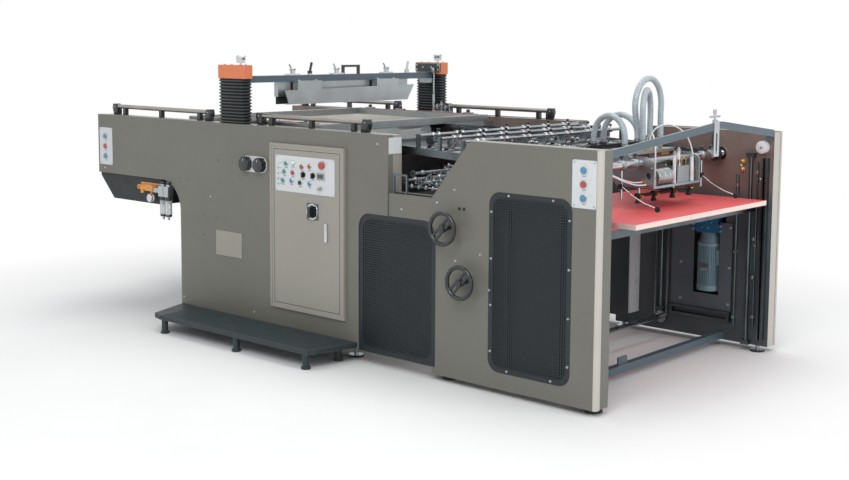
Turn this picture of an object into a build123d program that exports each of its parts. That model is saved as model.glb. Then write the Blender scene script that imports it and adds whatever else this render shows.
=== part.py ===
"""Stop-cylinder screen printing machine with sheet feeder, in millimetres.

Row frame: +X runs from the delivery end to the feeder end, +Y away from the operator, +Z up.
The origin is under the middle of the machine's outline, on the floor.
"""
from build123d import *
import math
import os

os.makedirs("parts", exist_ok=True)

# Whole machine
length = 3950.0          # over the side frames, delivery end to feeder end
frame_width = 1830.0     # over both side frames, outer face to outer face
frame_top = 1250.0       # floor to the top of the side frames
box_depth = 110.0        # depth of one side frame with its cover
step_reach = 315.0       # how far the operator's step stands out from the near cover

# Side outline, distances along X are taken from the feeder end
notch_start = 1325.0
notch_corner = 1022.0
notch_end = 773.0
notch_floor = 946.0
body_start = 3084.0
overhang_z = 868.0
overhang_radius = 180.0
delivery_bottom = 70.0
feeder_bottom = 32.0
bottom_split = 1016.0

# Frame castings and sheet covers
cover_depth = 40.0
cover_sheet = 3.0
cover_step = 6.0         # the feeder cover lies this much behind the delivery cover
corner_post = 30.0
corner_radius = 18.0
frame_plate = 30.0
frame_rim = 25.0
frame_inset = 2.0
seam_gap = 2.0
slip = 0.3               # running gap between a moving piece and what it seats on
fit_gap = 0.5            # gap round a piece that stands in an opening

# Vent grilles: distance of both sides from the feeder end, bottom and top
grille_sheet = 3.0
delivery_grille = (1540.0, 993.0, 70.0, 824.0, 80.0)
feeder_grille = (645.0, 150.0, 116.0, 1012.0, 65.0)
grille_hole = 22.0
grille_pitch = 44.0
grille_margin = 44.0
grille_lip = 16.0
screw_head = 14.0
screw_proud = 4.0
screw_inset = 14.0

# Control cabinet and its door
door_hinge_side = 2234.0
door_latch_side = 1636.0
door_bottom = 217.0
door_top = 1161.0
door_thick = 18.0
door_lip = 3.0
door_lip_width = 14.0
door_sheet = 3.0
hinge_radius = 6.0
cabinet_depth = 150.0
cabinet_wall = 3.0
cabinet_gap = 4.0

# Control plate on the door, places are from its lower hinge-side corner
plate_start = 2184.0
plate_end = 1706.0
plate_bottom = 893.0
plate_top = 1096.0
plate_sheet = 3.0
start_button_places = ((92.0, 158.0), (78.0, 112.0), (66.0, 62.0))
stop_button_places = ((222.0, 148.0), (148.0, 110.0), (208.0, 58.0))
selector_places = ((232.0, 104.0), (310.0, 104.0))
lamp_places = ((148.0, 164.0), (284.0, 154.0), (136.0, 64.0), (284.0, 58.0))
display_place = (372.0, 104.0)
stop_mushroom_place = (384.0, 166.0)
key_place = (372.0, 36.0)

# Push buttons
bezel_height = 6.0
button_proud = 12.0
button_travel = 4.0
button_stem = 7.0
panel_button = 12.0      # cap radius of the buttons on the control plate
station_button = 16.0    # cap radius of the buttons on the two stations
bezel_wall = 4.0
mushroom_radius = 21.0
mushroom_travel = 5.0

# Button stations: distance of both sides from the feeder end, bottom and top
station_sheet = 3.0
feeder_station = (153.0, 19.0, 978.0, 1202.0)
delivery_station = (3932.0, 3792.0, 923.0, 1165.0)
station_pitch = 65.0

# Other plates and knobs on the near cover
knob_centres = (2446.0, 2322.0)
knob_z = 1025.0
knob_radius = 42.0
knob_depth = 34.0
blank_plate = (2740.0, 2503.0, 457.0, 606.0)
notch_plate = (6.0, 102.0, 1150.0, 1236.0)
notch_grip = (1296.0, 1206.0, 1040.0)
grommets = ((836.0, 908.0, 8.0), (806.0, 908.0, 8.0))
main_switch_x = 1882.0
main_switch_z = 796.0
door_handle_x = 1771.0
door_handle_z = 688.0
door_handle_length = 105.0

# Handwheels
wheel_radius = 90.0
wheel_rim = 11.0
wheel_reach = 62.0
wheel_shaft = 11.0
upper_wheel = (898.0, 806.0)
lower_wheel = (783.0, 545.0)

# Operator's step
step_top = 112.0
step_thick = 28.0
step_rib = 3.0
step_back = (3075.0, 1548.0)
step_front = (2900.0, 1622.0)
step_corner = 70.0
leg_radius = 19.0
leg_foot = 26.0
leg_foot_height = 12.0

# Levelling feet
foot_radius = 42.0
foot_height = 12.0
foot_stud = 12.0
feet_delivery = (3020.0, 1650.0)
feet_feeder = (960.0, 70.0)

# Squeegee lift posts
lift_start = 2718.0
lift_end = 2481.0
cap_bottom = 1515.0
cap_top = 1594.0
cap_out = 6.0            # cap's outer face behind the near outer face
cap_in = 75.0
bellows_inset = 7.0
bellows_pleats = 14
pleat_depth = 9.0
bellows_wall = 5.0
lift_rod = 10.0
lift_rod_spread = 70.0
column_foot = 1000.0
column_half = 27.0
beam_rest = 62.0         # bottom of the lift rods above the foot of their column

# Squeegee bridge
beam_half = 30.0
beam_bottom = 1487.0
beam_top = 1527.0
blade_bottom = 1352.0
squeegee_start = 360.0   # across the machine from the near outer face
squeegee_end = 1520.0
trough_height = 86.0

# Screen carriage
screen_length = 1200.0
screen_near = 165.0
screen_far = 1665.0
screen_tube = 40.0
mesh_z = 1222.5
mesh_sheet = 1.5
rail_depth = 30.0
rail_ends = (3800.0, 1560.0)
rail_top = 1190.0
rail_height = 30.0

# Impression cylinder
cylinder_radius = 268.0
cylinder_gap = 3.0
cylinder_near = 225.0
cylinder_far = 1605.0
cylinder_shaft = 30.0
gear_radius = 235.0
gear_width = 26.0
gear_teeth = 60

# Feed table
table_rail = 38.0
table_rail_wide = 24.0
table_rail_near = 178.0
table_rail_far = 1652.0
slope_high = (1380.0, 1166.0)
board_low = (2290.0, 1108.0)
roller_radius = 17.0
roller_count = 7
roller_last = 600.0      # last tape roller, from the feeder end
bed_sheet = 6.0
table_brackets = (1440.0, 620.0, 480.0)
tape_wide = 36.0
tape_count = 7
tape_sheet = 2.0
tape_sink = 0.5
wheel_bars = (1270.0, 1120.0, 960.0)
wheel_bar = 9.0
wheel_radius_small = 26.0

# Sheet feeder
feeder_bar_x = 330.0
feeder_bar_z = 1113.0
feeder_bar = 20.0
head_near = 850.0
head_far = 1320.0
head_bottom = 985.0
head_plate = 12.0
head_end = 235.0
manifold_front = 395.0
manifold_rear = 550.0
manifold_bottom = 1148.0
manifold_top = 1164.0
sucker_x = 362.0
sucker_places = (905.0, 1060.0, 1250.0, 1425.0)
sucker_z = 935.0
spigot = 14.0
line_x = 750.0           # vacuum line across the feeder, from the feeder end
line_half = 42.0
line_bottom = 1156.0
hose_radius = 17.5
air_tube_radius = 4.0

# Pile board and its lift
board_top = 872.0
board_sheet = 26.0
board_skin = 4.0
board_rim = 8.0
board_ribs = 5
board_front = 15.0
board_length = 800.0
board_near = 340.0
board_far = 1674.0
carrier_height = 45.0
carrier_width = 50.0
carrier_places = (130.0, 690.0)
guide_rod = 10.0
guide_rod_out = 18.0     # guide rod axis to the frame's inner face
front_rods = (60.0, 1104.0)
rear_rods = (176.0, 1026.0)
guide_bracket = 24.0
uprights = (52.0, 30.0)
chain_wide = 6.0
chain_deep = 8.0
sprocket_radius = 36.0
lift_shaft = 15.0
lift_shaft_z = 112.0
idler_z = 1090.0
disc_x = 65.0            # white disc on the far inner wall
disc_z = 1164.0

# Drive on the far inner wall
motor_x = 395.0
motor_radius = 70.0
motor_recess = 29.0      # motor axis behind the far frame's inner face
motor_bottom = 310.0
motor_top = 592.0
gearbox_bottom = 650.0
gearbox_top = 775.0
gearbox_half = 66.0
motor_opening = (487.0, 283.0, 292.0, 792.0)
motor_slot = 82.0
motor_flange = (655.0, 705.0)
motor_flange_half = 100.0
fin_count = 36
motor_plate = (625.0, 232.0, 205.0, 715.0)
motor_plate_sheet = 12.0
white_upright = (850.0, 100.0, 120.0, 630.0)

# Feeder end bars
top_bar_depth = 38.0
top_bar_sheet = 10.0
top_bar_near_z = 1228.0
top_bar_peak_z = 1318.0
top_bar_far_z = 1244.0
top_bar_peak = 1120.0
top_bar_bend = 300.0
floor_bar_x = 300.0
floor_bar_z = 60.0
floor_bar_half = 20.0

# Delivery end
belt_z = 1150.0
belt_count = 6
delivery_roller = 40.0
roller_journal = 15.0
belt_wide = 70.0
belt_sheet = 3.0
belt_end = 3020.0
belt_span = (260.0, 1570.0)
delivery_rail_ends = (3835.0, 3020.0)
chute_inset = 15.0
roller_x = 3890.0
chute_end = 3300.0
chute_bottom = 705.0
chute_slope = 145.0
chute_sheet = 4.0

# Handrails
rail_tube = 14.0
rail_z = 1302.0
rail_inset = 78.0
delivery_rail = (3860.0, 2870.0)
feeder_rail = (2430.0, 1540.0)
stand_half = 13.0

# Places that follow from the sizes above
feed_x = length / 2
delivery_x = -length / 2
near_y = (step_reach - frame_width) / 2
far_y = near_y + frame_width
near_in = near_y + box_depth
far_in = far_y - box_depth
centre_y = (near_y + far_y) / 2
mid_plane = Plane.XZ.offset(-centre_y)
lift_x = feed_x - (lift_start + lift_end) / 2
lift_half = (lift_start - lift_end) / 2
lift_y = (cap_out + cap_in) / 2
cylinder_z = mesh_z - cylinder_gap - cylinder_radius
lift_shaft_x = feed_x - carrier_places[1]


def back(distance):
    """X of a place given by its distance from the feeder end."""
    return feed_x - distance


def across(distance):
    """Y of a place given by its distance from the near outer face."""
    return near_y + distance


def side_plane(y):
    """Upright plane facing the operator, its local axes are X and Z."""
    return Plane(origin=(0, y, 0), x_dir=(1, 0, 0), z_dir=(0, -1, 0))


def end_plane(x):
    """Upright plane facing the feeder end, its local axes are Y and Z."""
    return Plane(origin=(x, 0, 0), x_dir=(0, 1, 0), z_dir=(1, 0, 0))


def block(x0, x1, y0, y1, z0, z1, mode=Mode.ADD):
    """Rectangular block between two corners."""
    with Locations(((x0 + x1) / 2, (y0 + y1) / 2, (z0 + z1) / 2)):
        Box(abs(x1 - x0), abs(y1 - y0), abs(z1 - z0), mode=mode)


def rod_y(x, z, radius, y0, y1, mode=Mode.ADD):
    """Round bar or bore across the machine."""
    with Locations(Location((x, (y0 + y1) / 2, z), (90, 0, 0))):
        Cylinder(radius, abs(y1 - y0), mode=mode)


def rod_x(y, z, radius, x0, x1, mode=Mode.ADD):
    """Round bar or bore along the machine."""
    with Locations(Location(((x0 + x1) / 2, y, z), (0, 90, 0))):
        Cylinder(radius, abs(x1 - x0), mode=mode)


def rod_z(x, y, radius, z0, z1, mode=Mode.ADD):
    """Upright round bar or bore."""
    with Locations((x, y, (z0 + z1) / 2)):
        Cylinder(radius, abs(z1 - z0), mode=mode)


def save(builder, label):
    """Label a finished piece and write it."""
    builder.part.label = label
    export_step(builder.part, f"parts/{label}.step")


def arc_middle():
    """Point in the middle of the rounding between the body and the overhang."""
    reach = overhang_radius * (1 - math.sqrt(0.5))
    return (back(body_start) - reach, overhang_z - reach)


def overhang_corner():
    """Both ends of the rounding under the overhang."""
    corner = back(body_start)
    return (corner, overhang_z - overhang_radius), (corner - overhang_radius, overhang_z)


def whole_outline():
    """Outline of a side frame, with its overhang and its notch."""
    arc_start, arc_end = overhang_corner()
    with BuildSketch() as outline:
        with BuildLine():
            Polyline(
                arc_end,
                (delivery_x, overhang_z),
                (delivery_x, frame_top),
                (back(notch_start), frame_top),
                (back(notch_start), notch_floor),
                (back(notch_corner), notch_floor),
                (back(notch_end), frame_top),
                (feed_x, frame_top),
                (feed_x, feeder_bottom),
                (back(bottom_split), feeder_bottom),
                (back(bottom_split), delivery_bottom),
                (back(body_start), delivery_bottom),
                arc_start,
            )
            ThreePointArc(arc_start, arc_middle(), arc_end)
        make_face()
    return outline.sketch


def delivery_outline():
    """Outline of the cover from the delivery end to the seam."""
    arc_start, arc_end = overhang_corner()
    with BuildSketch() as outline:
        with BuildLine():
            Polyline(
                arc_end,
                (delivery_x, overhang_z),
                (delivery_x, frame_top),
                (back(notch_start), frame_top),
                (back(notch_start), delivery_bottom),
                (back(body_start), delivery_bottom),
                arc_start,
            )
            ThreePointArc(arc_start, arc_middle(), arc_end)
        make_face()
    return outline.sketch


def feeder_outline():
    """Outline of the cover from the seam to the feeder end."""
    seam = back(notch_start) + seam_gap
    with BuildSketch() as outline:
        with BuildLine():
            Polyline(
                (seam, notch_floor),
                (back(notch_corner), notch_floor),
                (back(notch_end), frame_top),
                (feed_x, frame_top),
                (feed_x, feeder_bottom),
                (back(bottom_split), feeder_bottom),
                (back(bottom_split), delivery_bottom),
                (seam, delivery_bottom),
                close=True,
            )
        make_face()
    return outline.sketch


def shrink(amount):
    """Draw the outline of the running sketch in by an amount."""
    offset(amount=-amount, kind=Kind.INTERSECTION, mode=Mode.REPLACE)


def grille_shape(grille, grow=0.0, square_foot=False, mode=Mode.ADD):
    """Rounded outline of a vent grille, grown or drawn in."""
    start, end, bottom, top, radius = grille
    wide = start - end + 2 * grow
    high = top - bottom + 2 * grow
    with Locations((back((start + end) / 2), (bottom + top) / 2)):
        RectangleRounded(wide, high, radius + grow, mode=mode)
    if square_foot:
        with Locations((back((start + end) / 2), bottom - grow + radius / 2)):
            Rectangle(wide, radius, mode=mode)


def cabinet_box(grow, y0, y1, mode):
    """Block of the control cabinet's outline, grown all round."""
    block(
        back(door_hinge_side) + cabinet_gap - grow,
        back(door_latch_side) - cabinet_gap + grow,
        y0,
        y1,
        door_bottom + cabinet_gap - grow,
        door_top - cabinet_gap + grow,
        mode=mode,
    )


def column_box(side, grow, z0, z1, mode):
    """Block of a lift column's outline, at one side of the machine."""
    half = lift_rod_spread + column_half
    inner = side_y(side, box_depth - frame_plate)
    outer = side_y(side, lift_y - column_half - grow)
    block(lift_x - half - grow, lift_x + half + grow, min(inner, outer), max(inner, outer), z0, z1, mode)


def side_y(side, distance):
    """Y of a place given by its distance in from the outer face, near (0) or far (1)."""
    return far_y - distance if side else near_y + distance


# Side frames: a plate with a rim, ribs and bearing bores
with BuildPart() as frame_blank:
    with BuildSketch(side_plane(near_in)):
        add(whole_outline())
        shrink(frame_inset)
    extrude(amount=box_depth - cover_depth)
    with BuildSketch(side_plane(near_in - frame_plate)):
        add(whole_outline())
        shrink(frame_inset + frame_rim)
    extrude(amount=box_depth, mode=Mode.SUBTRACT)
    for rib_from_end, rib_foot in ((1590, delivery_bottom), (560, feeder_bottom), (250, feeder_bottom)):
        block(
            back(rib_from_end) - frame_plate / 4,
            back(rib_from_end) + frame_plate / 4,
            near_y + cover_depth,
            near_in - frame_plate,
            rib_foot + frame_inset,
            notch_floor - frame_rim,
        )
    rod_y(lift_x, cylinder_z, cylinder_shaft + slip, near_y, near_in, Mode.SUBTRACT)
    rod_y(lift_shaft_x, lift_shaft_z, lift_shaft + slip, near_y, near_in, Mode.SUBTRACT)
    rod_y(back(roller_x), belt_z - delivery_roller, roller_journal + slip, near_y, near_in, Mode.SUBTRACT)
    column_box(0, fit_gap, column_foot, frame_top, Mode.SUBTRACT)

with BuildPart() as near_side_frame:
    add(frame_blank.part)
    cabinet_box(fit_gap, near_y, near_in, Mode.SUBTRACT)
    for wheel_from_end, wheel_z in (upper_wheel, lower_wheel):
        rod_y(back(wheel_from_end), wheel_z, wheel_shaft + slip, near_y, near_in, Mode.SUBTRACT)
save(near_side_frame, "near_side_frame")

with BuildPart() as far_side_frame:
    add(frame_blank.part.mirror(mid_plane))
    block(
        back(motor_opening[0]),
        back(motor_opening[1]),
        far_in,
        far_in + frame_plate,
        motor_opening[2],
        motor_opening[3],
        Mode.SUBTRACT,
    )
save(far_side_frame, "far_side_frame")

# Sheet covers, folded pans on the outside of the frames
cover_face = near_y + cover_step

with BuildPart() as delivery_blank:
    with BuildSketch(side_plane(near_y + cover_depth)):
        add(delivery_outline())
    extrude(amount=cover_depth)
    with BuildSketch(side_plane(near_y + cover_depth)):
        add(delivery_outline())
        shrink(cover_sheet)
    extrude(amount=cover_depth - cover_sheet, mode=Mode.SUBTRACT)
    column_box(0, fit_gap, column_foot, frame_top, Mode.SUBTRACT)

with BuildPart() as feeder_blank:
    with BuildSketch(side_plane(near_y + cover_depth)):
        add(feeder_outline())
    extrude(amount=cover_depth - cover_step)
    with BuildSketch(side_plane(near_y + cover_depth)):
        add(feeder_outline())
        shrink(cover_sheet)
    extrude(amount=cover_depth - cover_step - cover_sheet, mode=Mode.SUBTRACT)
    block(feed_x - corner_post, feed_x, cover_face, near_y + cover_depth, feeder_bottom, frame_top)
    outer_edges = feeder_blank.edges().filter_by(Axis.Z).group_by(Axis.X)[-1].sort_by(Axis.Y)[0]
    fillet(outer_edges, radius=corner_radius)


def grille_seat(grille, square_foot, x0, x1, walls_from):
    """Flange that a grille rests on, between two places along X."""
    with BuildSketch(side_plane(cover_face + grille_sheet + cover_sheet)) as lip:
        grille_shape(grille, fit_gap + cover_sheet, square_foot)
        grille_shape(grille, -grille_lip, square_foot, Mode.SUBTRACT)
        with Locations(((x0 + x1) / 2, frame_top / 2)):
            Rectangle(x1 - x0, frame_top, mode=Mode.INTERSECT)
    extrude(lip.sketch, amount=cover_sheet)
    if walls_from < cover_face:
        with BuildSketch(side_plane(cover_face + grille_sheet)) as walls:
            grille_shape(grille, fit_gap + cover_sheet, square_foot)
            grille_shape(grille, fit_gap, square_foot, Mode.SUBTRACT)
            with Locations(((x0 + x1) / 2, frame_top / 2)):
                Rectangle(x1 - x0, frame_top, mode=Mode.INTERSECT)
        extrude(walls.sketch, amount=cover_face + grille_sheet - walls_from)


def station_centres(station):
    """X and Z of the three buttons of a station, from the top down."""
    start, end, bottom, top = station
    middle = (bottom + top) / 2
    x = back((start + end) / 2)
    return [(x, middle + station_pitch), (x, middle), (x, middle - station_pitch)]


seam_x = back(notch_start)
with BuildPart() as near_covers:
    add(delivery_blank.part)
    add(feeder_blank.part)
    with BuildSketch(side_plane(near_y + cover_depth + cover_sheet)):
        grille_shape(delivery_grille, fit_gap, True)
        grille_shape(feeder_grille, fit_gap)
    extrude(amount=2 * cover_depth, mode=Mode.SUBTRACT)
    grille_seat(delivery_grille, True, back(delivery_grille[0]) - grille_lip, seam_x, near_y)
    grille_seat(delivery_grille, True, seam_x + seam_gap, back(delivery_grille[1]) + grille_lip, cover_face)
    grille_seat(feeder_grille, False, back(feeder_grille[0]) - grille_lip, feed_x, cover_face)
    cabinet_box(fit_gap, near_y - cover_step, near_y + cover_depth, Mode.SUBTRACT)
    for wheel_from_end, wheel_z in (upper_wheel, lower_wheel):
        rod_y(back(wheel_from_end), wheel_z, wheel_shaft + fit_gap, near_y, near_in, Mode.SUBTRACT)
    for x, z in station_centres(feeder_station) + station_centres(delivery_station):
        rod_y(x, z, button_stem + fit_gap, near_y, near_y + cover_depth, Mode.SUBTRACT)
save(near_covers, "near_covers")

with BuildPart() as far_covers:
    add(delivery_blank.part.mirror(mid_plane))
    add(feeder_blank.part.mirror(mid_plane))
save(far_covers, "far_covers")

# Vent grilles, one plate each
with BuildPart() as vent_grilles:
    for grille, square_foot in ((delivery_grille, True), (feeder_grille, False)):
        start, end, bottom, top, radius = grille
        columns = int((start - end - 2 * grille_margin) / grille_pitch) + 1
        rows = int((top - bottom - 2 * grille_margin) / grille_pitch) + 1
        with BuildSketch(side_plane(cover_face + grille_sheet)):
            grille_shape(grille, 0.0, square_foot)
            with Locations((back((start + end) / 2), (bottom + top) / 2)):
                with GridLocations(grille_pitch, grille_pitch, columns, rows):
                    Circle(grille_hole / 2, mode=Mode.SUBTRACT)
        extrude(amount=grille_sheet)
save(vent_grilles, "vent_grilles")
print("grille holes counted", columns * rows)


def screw(x, z, face):
    """Domed screw head on an upright face."""
    with BuildSketch(side_plane(face)) as head:
        with Locations((x, z)):
            Circle(screw_head / 2)
    extrude(head.sketch, amount=screw_proud, taper=25)


# Screw heads on the grilles and the covers
with BuildPart() as cover_screws:
    start, end, bottom, top, radius = feeder_grille
    for step in range(4):
        screw_z = bottom + 100 + step * (top - bottom - 200) / 3
        screw(back(start - screw_inset), screw_z, cover_face)
        screw(back(end + screw_inset), screw_z, cover_face)
    for screw_x in (start - 120, end + 110):
        screw(back(screw_x), bottom + screw_inset, cover_face)
        screw(back(screw_x), top - screw_inset, cover_face)
    for screw_from_end, screw_z in ((1230, 868), (870, 1000), (985, 925), (640, 520), (860, 640), (700, 690)):
        screw(back(screw_from_end), screw_z, cover_face)
    for screw_from_end, screw_z in ((3060, 150), (2400, 150), (3880, 900), (1400, 1200), (2790, 800)):
        screw(back(screw_from_end), screw_z, near_y)
save(cover_screws, "cover_screws")

# Bars that tie the two side frames together
with BuildPart() as cross_members:
    for tie_from_end, tie_z, tie_half in ((2960, 200, 40), (1620, 160, 40), (1110, 760, 35), (2960, 700, 40)):
        block(
            back(tie_from_end) - tie_half,
            back(tie_from_end) + tie_half,
            near_in,
            far_in,
            tie_z - tie_half,
            tie_z + tie_half,
        )
    block(
        back(floor_bar_x) - floor_bar_half,
        back(floor_bar_x) + floor_bar_half,
        near_in,
        far_in,
        floor_bar_z - floor_bar_half,
        floor_bar_z + floor_bar_half,
    )
    block(
        back(floor_bar_x) - floor_bar_half / 4,
        back(floor_bar_x) + floor_bar_half / 4,
        across(650),
        across(730),
        floor_bar_z + floor_bar_half,
        floor_bar_z + 3 * floor_bar_half,
    )
save(cross_members, "cross_members")

# Levelling feet under both frames
with BuildPart() as levelling_feet:
    foot_y = box_depth - frame_plate / 2
    for side in (0, 1):
        for feet, underside in ((feet_delivery, delivery_bottom), (feet_feeder, feeder_bottom)):
            for foot_from_end in feet:
                foot_x = back(foot_from_end)
                rod_z(foot_x, side_y(side, foot_y), foot_radius, 0, foot_height)
                rod_z(foot_x, side_y(side, foot_y), foot_stud, foot_height, underside + frame_inset)
save(levelling_feet, "levelling_feet")

# Control cabinet in the near frame: open steel box with its mounting plate and switchgear
cabinet_front = near_y + slip
cabinet_rear = near_y + cabinet_depth
cabinet_left = back(door_hinge_side) + cabinet_gap
hinge_x = back(door_hinge_side) - hinge_radius - slip
hinge_y = near_y - hinge_radius - slip
with BuildPart() as control_cabinet:
    cabinet_box(0, cabinet_front, cabinet_rear, Mode.ADD)
    cabinet_box(-cabinet_wall, cabinet_front - cabinet_wall, cabinet_rear - cabinet_wall, Mode.SUBTRACT)
    for row_z, row_high, row_deep in ((300, 150, 90), (520, 90, 70), (980, 110, 60)):
        for column in range(4):
            part_x = cabinet_left + 80 + column * 110
            block(
                part_x,
                part_x + 80,
                cabinet_rear - cabinet_wall - row_deep,
                cabinet_rear - cabinet_wall,
                row_z,
                row_z + row_high,
            )
    for hinge_z in (door_bottom + 90, (door_bottom + door_top) / 2, door_top - 90):
        rod_z(hinge_x, hinge_y, hinge_radius, hinge_z - 35, hinge_z + 35)
save(control_cabinet, "control_cabinet")

door_back = near_y - slip
door_front = near_y - door_thick
door_left = back(door_hinge_side)
door_right = back(door_latch_side)


def control_hole(x, z, radius):
    """Bore for a control through the door and its plate."""
    rod_y(x, z, radius, door_front - 2 * plate_sheet, door_back + plate_sheet, Mode.SUBTRACT)


def on_plate(place):
    """X and Z of a place on the control plate."""
    return back(plate_start) + place[0], plate_bottom + place[1]


pressed_places = start_button_places + stop_button_places + (stop_mushroom_place,)
turned_places = selector_places + (key_place,)
stem_bore = button_stem + fit_gap
with BuildPart() as cabinet_door:
    block(door_left, door_right, door_front + door_lip, door_back, door_bottom, door_top)
    block(
        door_left + door_sheet,
        door_right - door_sheet,
        door_front + door_lip + door_sheet,
        door_back,
        door_bottom + door_sheet,
        door_top - door_sheet,
        Mode.SUBTRACT,
    )
    block(door_left, door_right, door_front, door_front + door_lip, door_bottom, door_top)
    block(
        door_left + door_lip_width,
        door_right - door_lip_width,
        door_front,
        door_front + door_lip,
        door_bottom + door_lip_width,
        door_top - door_lip_width,
        Mode.SUBTRACT,
    )
    for place in pressed_places + turned_places:
        control_hole(*on_plate(place), stem_bore)
    control_hole(back(main_switch_x), main_switch_z, stem_bore)
    control_hole(back(door_handle_x), door_handle_z, stem_bore)
save(cabinet_door, "cabinet_door")

panel_back = door_front + door_lip
panel_face = panel_back - plate_sheet


def bezel(x, z, face, cap):
    """Fixed ring round a button cap."""
    rod_y(x, z, cap + bezel_wall, face - bezel_height, face)
    rod_y(x, z, cap + fit_gap, face - bezel_height, face, Mode.SUBTRACT)
    rod_y(x, z, stem_bore, face - bezel_height, face + 2 * plate_sheet, Mode.SUBTRACT)


# Control plate with its rings, pilot lamps and counter window
with BuildPart() as control_plate:
    with BuildSketch(side_plane(panel_back)):
        with Locations((back((plate_start + plate_end) / 2), (plate_bottom + plate_top) / 2)):
            RectangleRounded(plate_start - plate_end, plate_top - plate_bottom, 2 * plate_sheet)
    extrude(amount=plate_sheet)
    for place in start_button_places + stop_button_places:
        bezel(*on_plate(place), panel_face, panel_button)
    for place in turned_places + (stop_mushroom_place,):
        rod_y(*on_plate(place), stem_bore, panel_face, panel_back, Mode.SUBTRACT)
    for place in lamp_places:
        rod_y(*on_plate(place), panel_button, panel_face - bezel_height, panel_face)
    for lamp_row in range(5):
        lamp_x, lamp_z = on_plate((26, 40 + 30 * lamp_row))
        rod_y(lamp_x, lamp_z, bezel_wall, panel_face - bezel_wall, panel_face)
    window_x, window_z = on_plate(display_place)
    block(window_x - 24, window_x + 24, panel_face - bezel_wall, panel_face, window_z - 12, window_z + 12)
save(control_plate, "control_plate")


def push_button(x, z, face, cap):
    """Button cap in its ring with the stem behind it."""
    rod_y(x, z, cap, face - button_proud, face - button_travel - slip)
    rod_y(x, z, button_stem, face - button_travel - slip, face + door_thick / 2)


def front_edges(builder):
    """Edges of a piece that lie nearest the operator."""
    return builder.edges().group_by(Axis.Y)[0]


for number, place in enumerate(start_button_places, start=1):
    with BuildPart() as start_button:
        push_button(*on_plate(place), panel_face, panel_button)
        fillet(front_edges(start_button), radius=panel_button / 8)
    save(start_button, f"start_button_{number}")

for number, place in enumerate(stop_button_places, start=1):
    with BuildPart() as stop_button:
        push_button(*on_plate(place), panel_face, panel_button)
        fillet(front_edges(stop_button), radius=panel_button / 8)
    save(stop_button, f"stop_button_{number}")

with BuildPart() as emergency_stop:
    stop_x, stop_z = on_plate(stop_mushroom_place)
    mushroom_back = panel_face - mushroom_travel - slip - fit_gap
    rod_y(stop_x, stop_z, mushroom_radius, mushroom_back - 12, mushroom_back)
    fillet(front_edges(emergency_stop), radius=6)
    rod_y(stop_x, stop_z, button_stem, mushroom_back, panel_face + door_thick / 2)
save(emergency_stop, "emergency_stop")

selector_face = panel_face - slip
for name, place in zip(("left", "right"), selector_places):
    with BuildPart() as selector:
        knob_x, knob_mid = on_plate(place)
        rod_y(knob_x, knob_mid, panel_button + bezel_wall, selector_face - 6, selector_face)
        block(knob_x - 4, knob_x + 4, selector_face - 18, selector_face - 6, knob_mid - 14, knob_mid + 14)
        rod_y(knob_x, knob_mid, button_stem, selector_face, panel_face + door_thick / 2)
    save(selector, f"selector_{name}")

with BuildPart() as key_switch:
    key_x, key_z = on_plate(key_place)
    rod_y(key_x, key_z, panel_button, selector_face - 8, selector_face)
    block(key_x - 1.5, key_x + 1.5, selector_face - 30, selector_face - 8, key_z - 9, key_z + 9)
    rod_y(key_x, key_z, button_stem, selector_face, panel_face + door_thick / 2)
save(key_switch, "key_switch")

main_face = door_front + door_lip - slip
with BuildPart() as main_switch:
    switch_x = back(main_switch_x)
    rod_y(switch_x, main_switch_z, 34, main_face - 8, main_face)
    block(switch_x - 9, switch_x + 9, main_face - 34, main_face - 8, main_switch_z - 30, main_switch_z + 30)
    rod_y(switch_x, main_switch_z, button_stem, main_face, near_y + door_thick)
save(main_switch, "main_switch")

with BuildPart() as door_handle:
    grip_x = back(door_handle_x)
    rod_y(grip_x, door_handle_z, button_stem, main_face, near_y + door_thick)
    with BuildSketch(side_plane(main_face)):
        with Locations((grip_x, door_handle_z)):
            SlotOverall(door_handle_length, 22, rotation=90)
    extrude(amount=9)
    with Locations((grip_x, near_y + door_thick / 2, door_handle_z - 16)):
        Box(12, 3, 46)
save(door_handle, "door_handle")


def plate_between(plate, sheet, face, radius):
    """Rounded plate given by its sides from the feeder end, bottom and top."""
    start, end, bottom, top = plate
    with BuildSketch(side_plane(face)) as outline:
        with Locations((back((start + end) / 2), (bottom + top) / 2)):
            RectangleRounded(start - end, top - bottom, radius)
    extrude(outline.sketch, amount=sheet)


# Plates on the near covers: two stations with their rings, the knob plate and a blank plate
knob_middle = (knob_centres[0] + knob_centres[1]) / 2
with BuildPart() as side_plates:
    plate_between(feeder_station, station_sheet, cover_face, 8)
    plate_between(delivery_station, station_sheet, near_y, 8)
    plate_between(blank_plate, station_sheet, near_y, 4)
    with BuildSketch(side_plane(near_y)) as oval:
        with Locations((back(knob_middle), knob_z)):
            SlotOverall(knob_centres[0] - knob_centres[1] + 2 * knob_radius + 10, 2 * knob_radius + 10)
    extrude(oval.sketch, amount=station_sheet)
    for station, face in ((feeder_station, cover_face), (delivery_station, near_y)):
        for x, z in station_centres(station):
            bezel(x, z, face - station_sheet, station_button)
    for knob in knob_centres:
        rod_y(back(knob), knob_z, button_stem + fit_gap, near_y - 2 * station_sheet, near_y, Mode.SUBTRACT)
    block(seam_x, seam_x + station_sheet, across(notch_plate[0]), across(notch_plate[1]), *notch_plate[2:])
    for grip_end in notch_grip[:2]:
        block(
            back(grip_end) - 5,
            back(grip_end) + 5,
            cover_face + 3 * cover_sheet,
            cover_face + 6 * cover_sheet,
            notch_floor,
            notch_grip[2],
        )
    block(
        back(notch_grip[0]) - 5,
        back(notch_grip[1]) + 5,
        cover_face + 3 * cover_sheet,
        cover_face + 6 * cover_sheet,
        notch_grip[2],
        notch_grip[2] + 10,
    )
    for grommet in grommets:
        rod_y(back(grommet[0]), grommet[1], grommet[2], cover_face - 3, cover_face)
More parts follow.
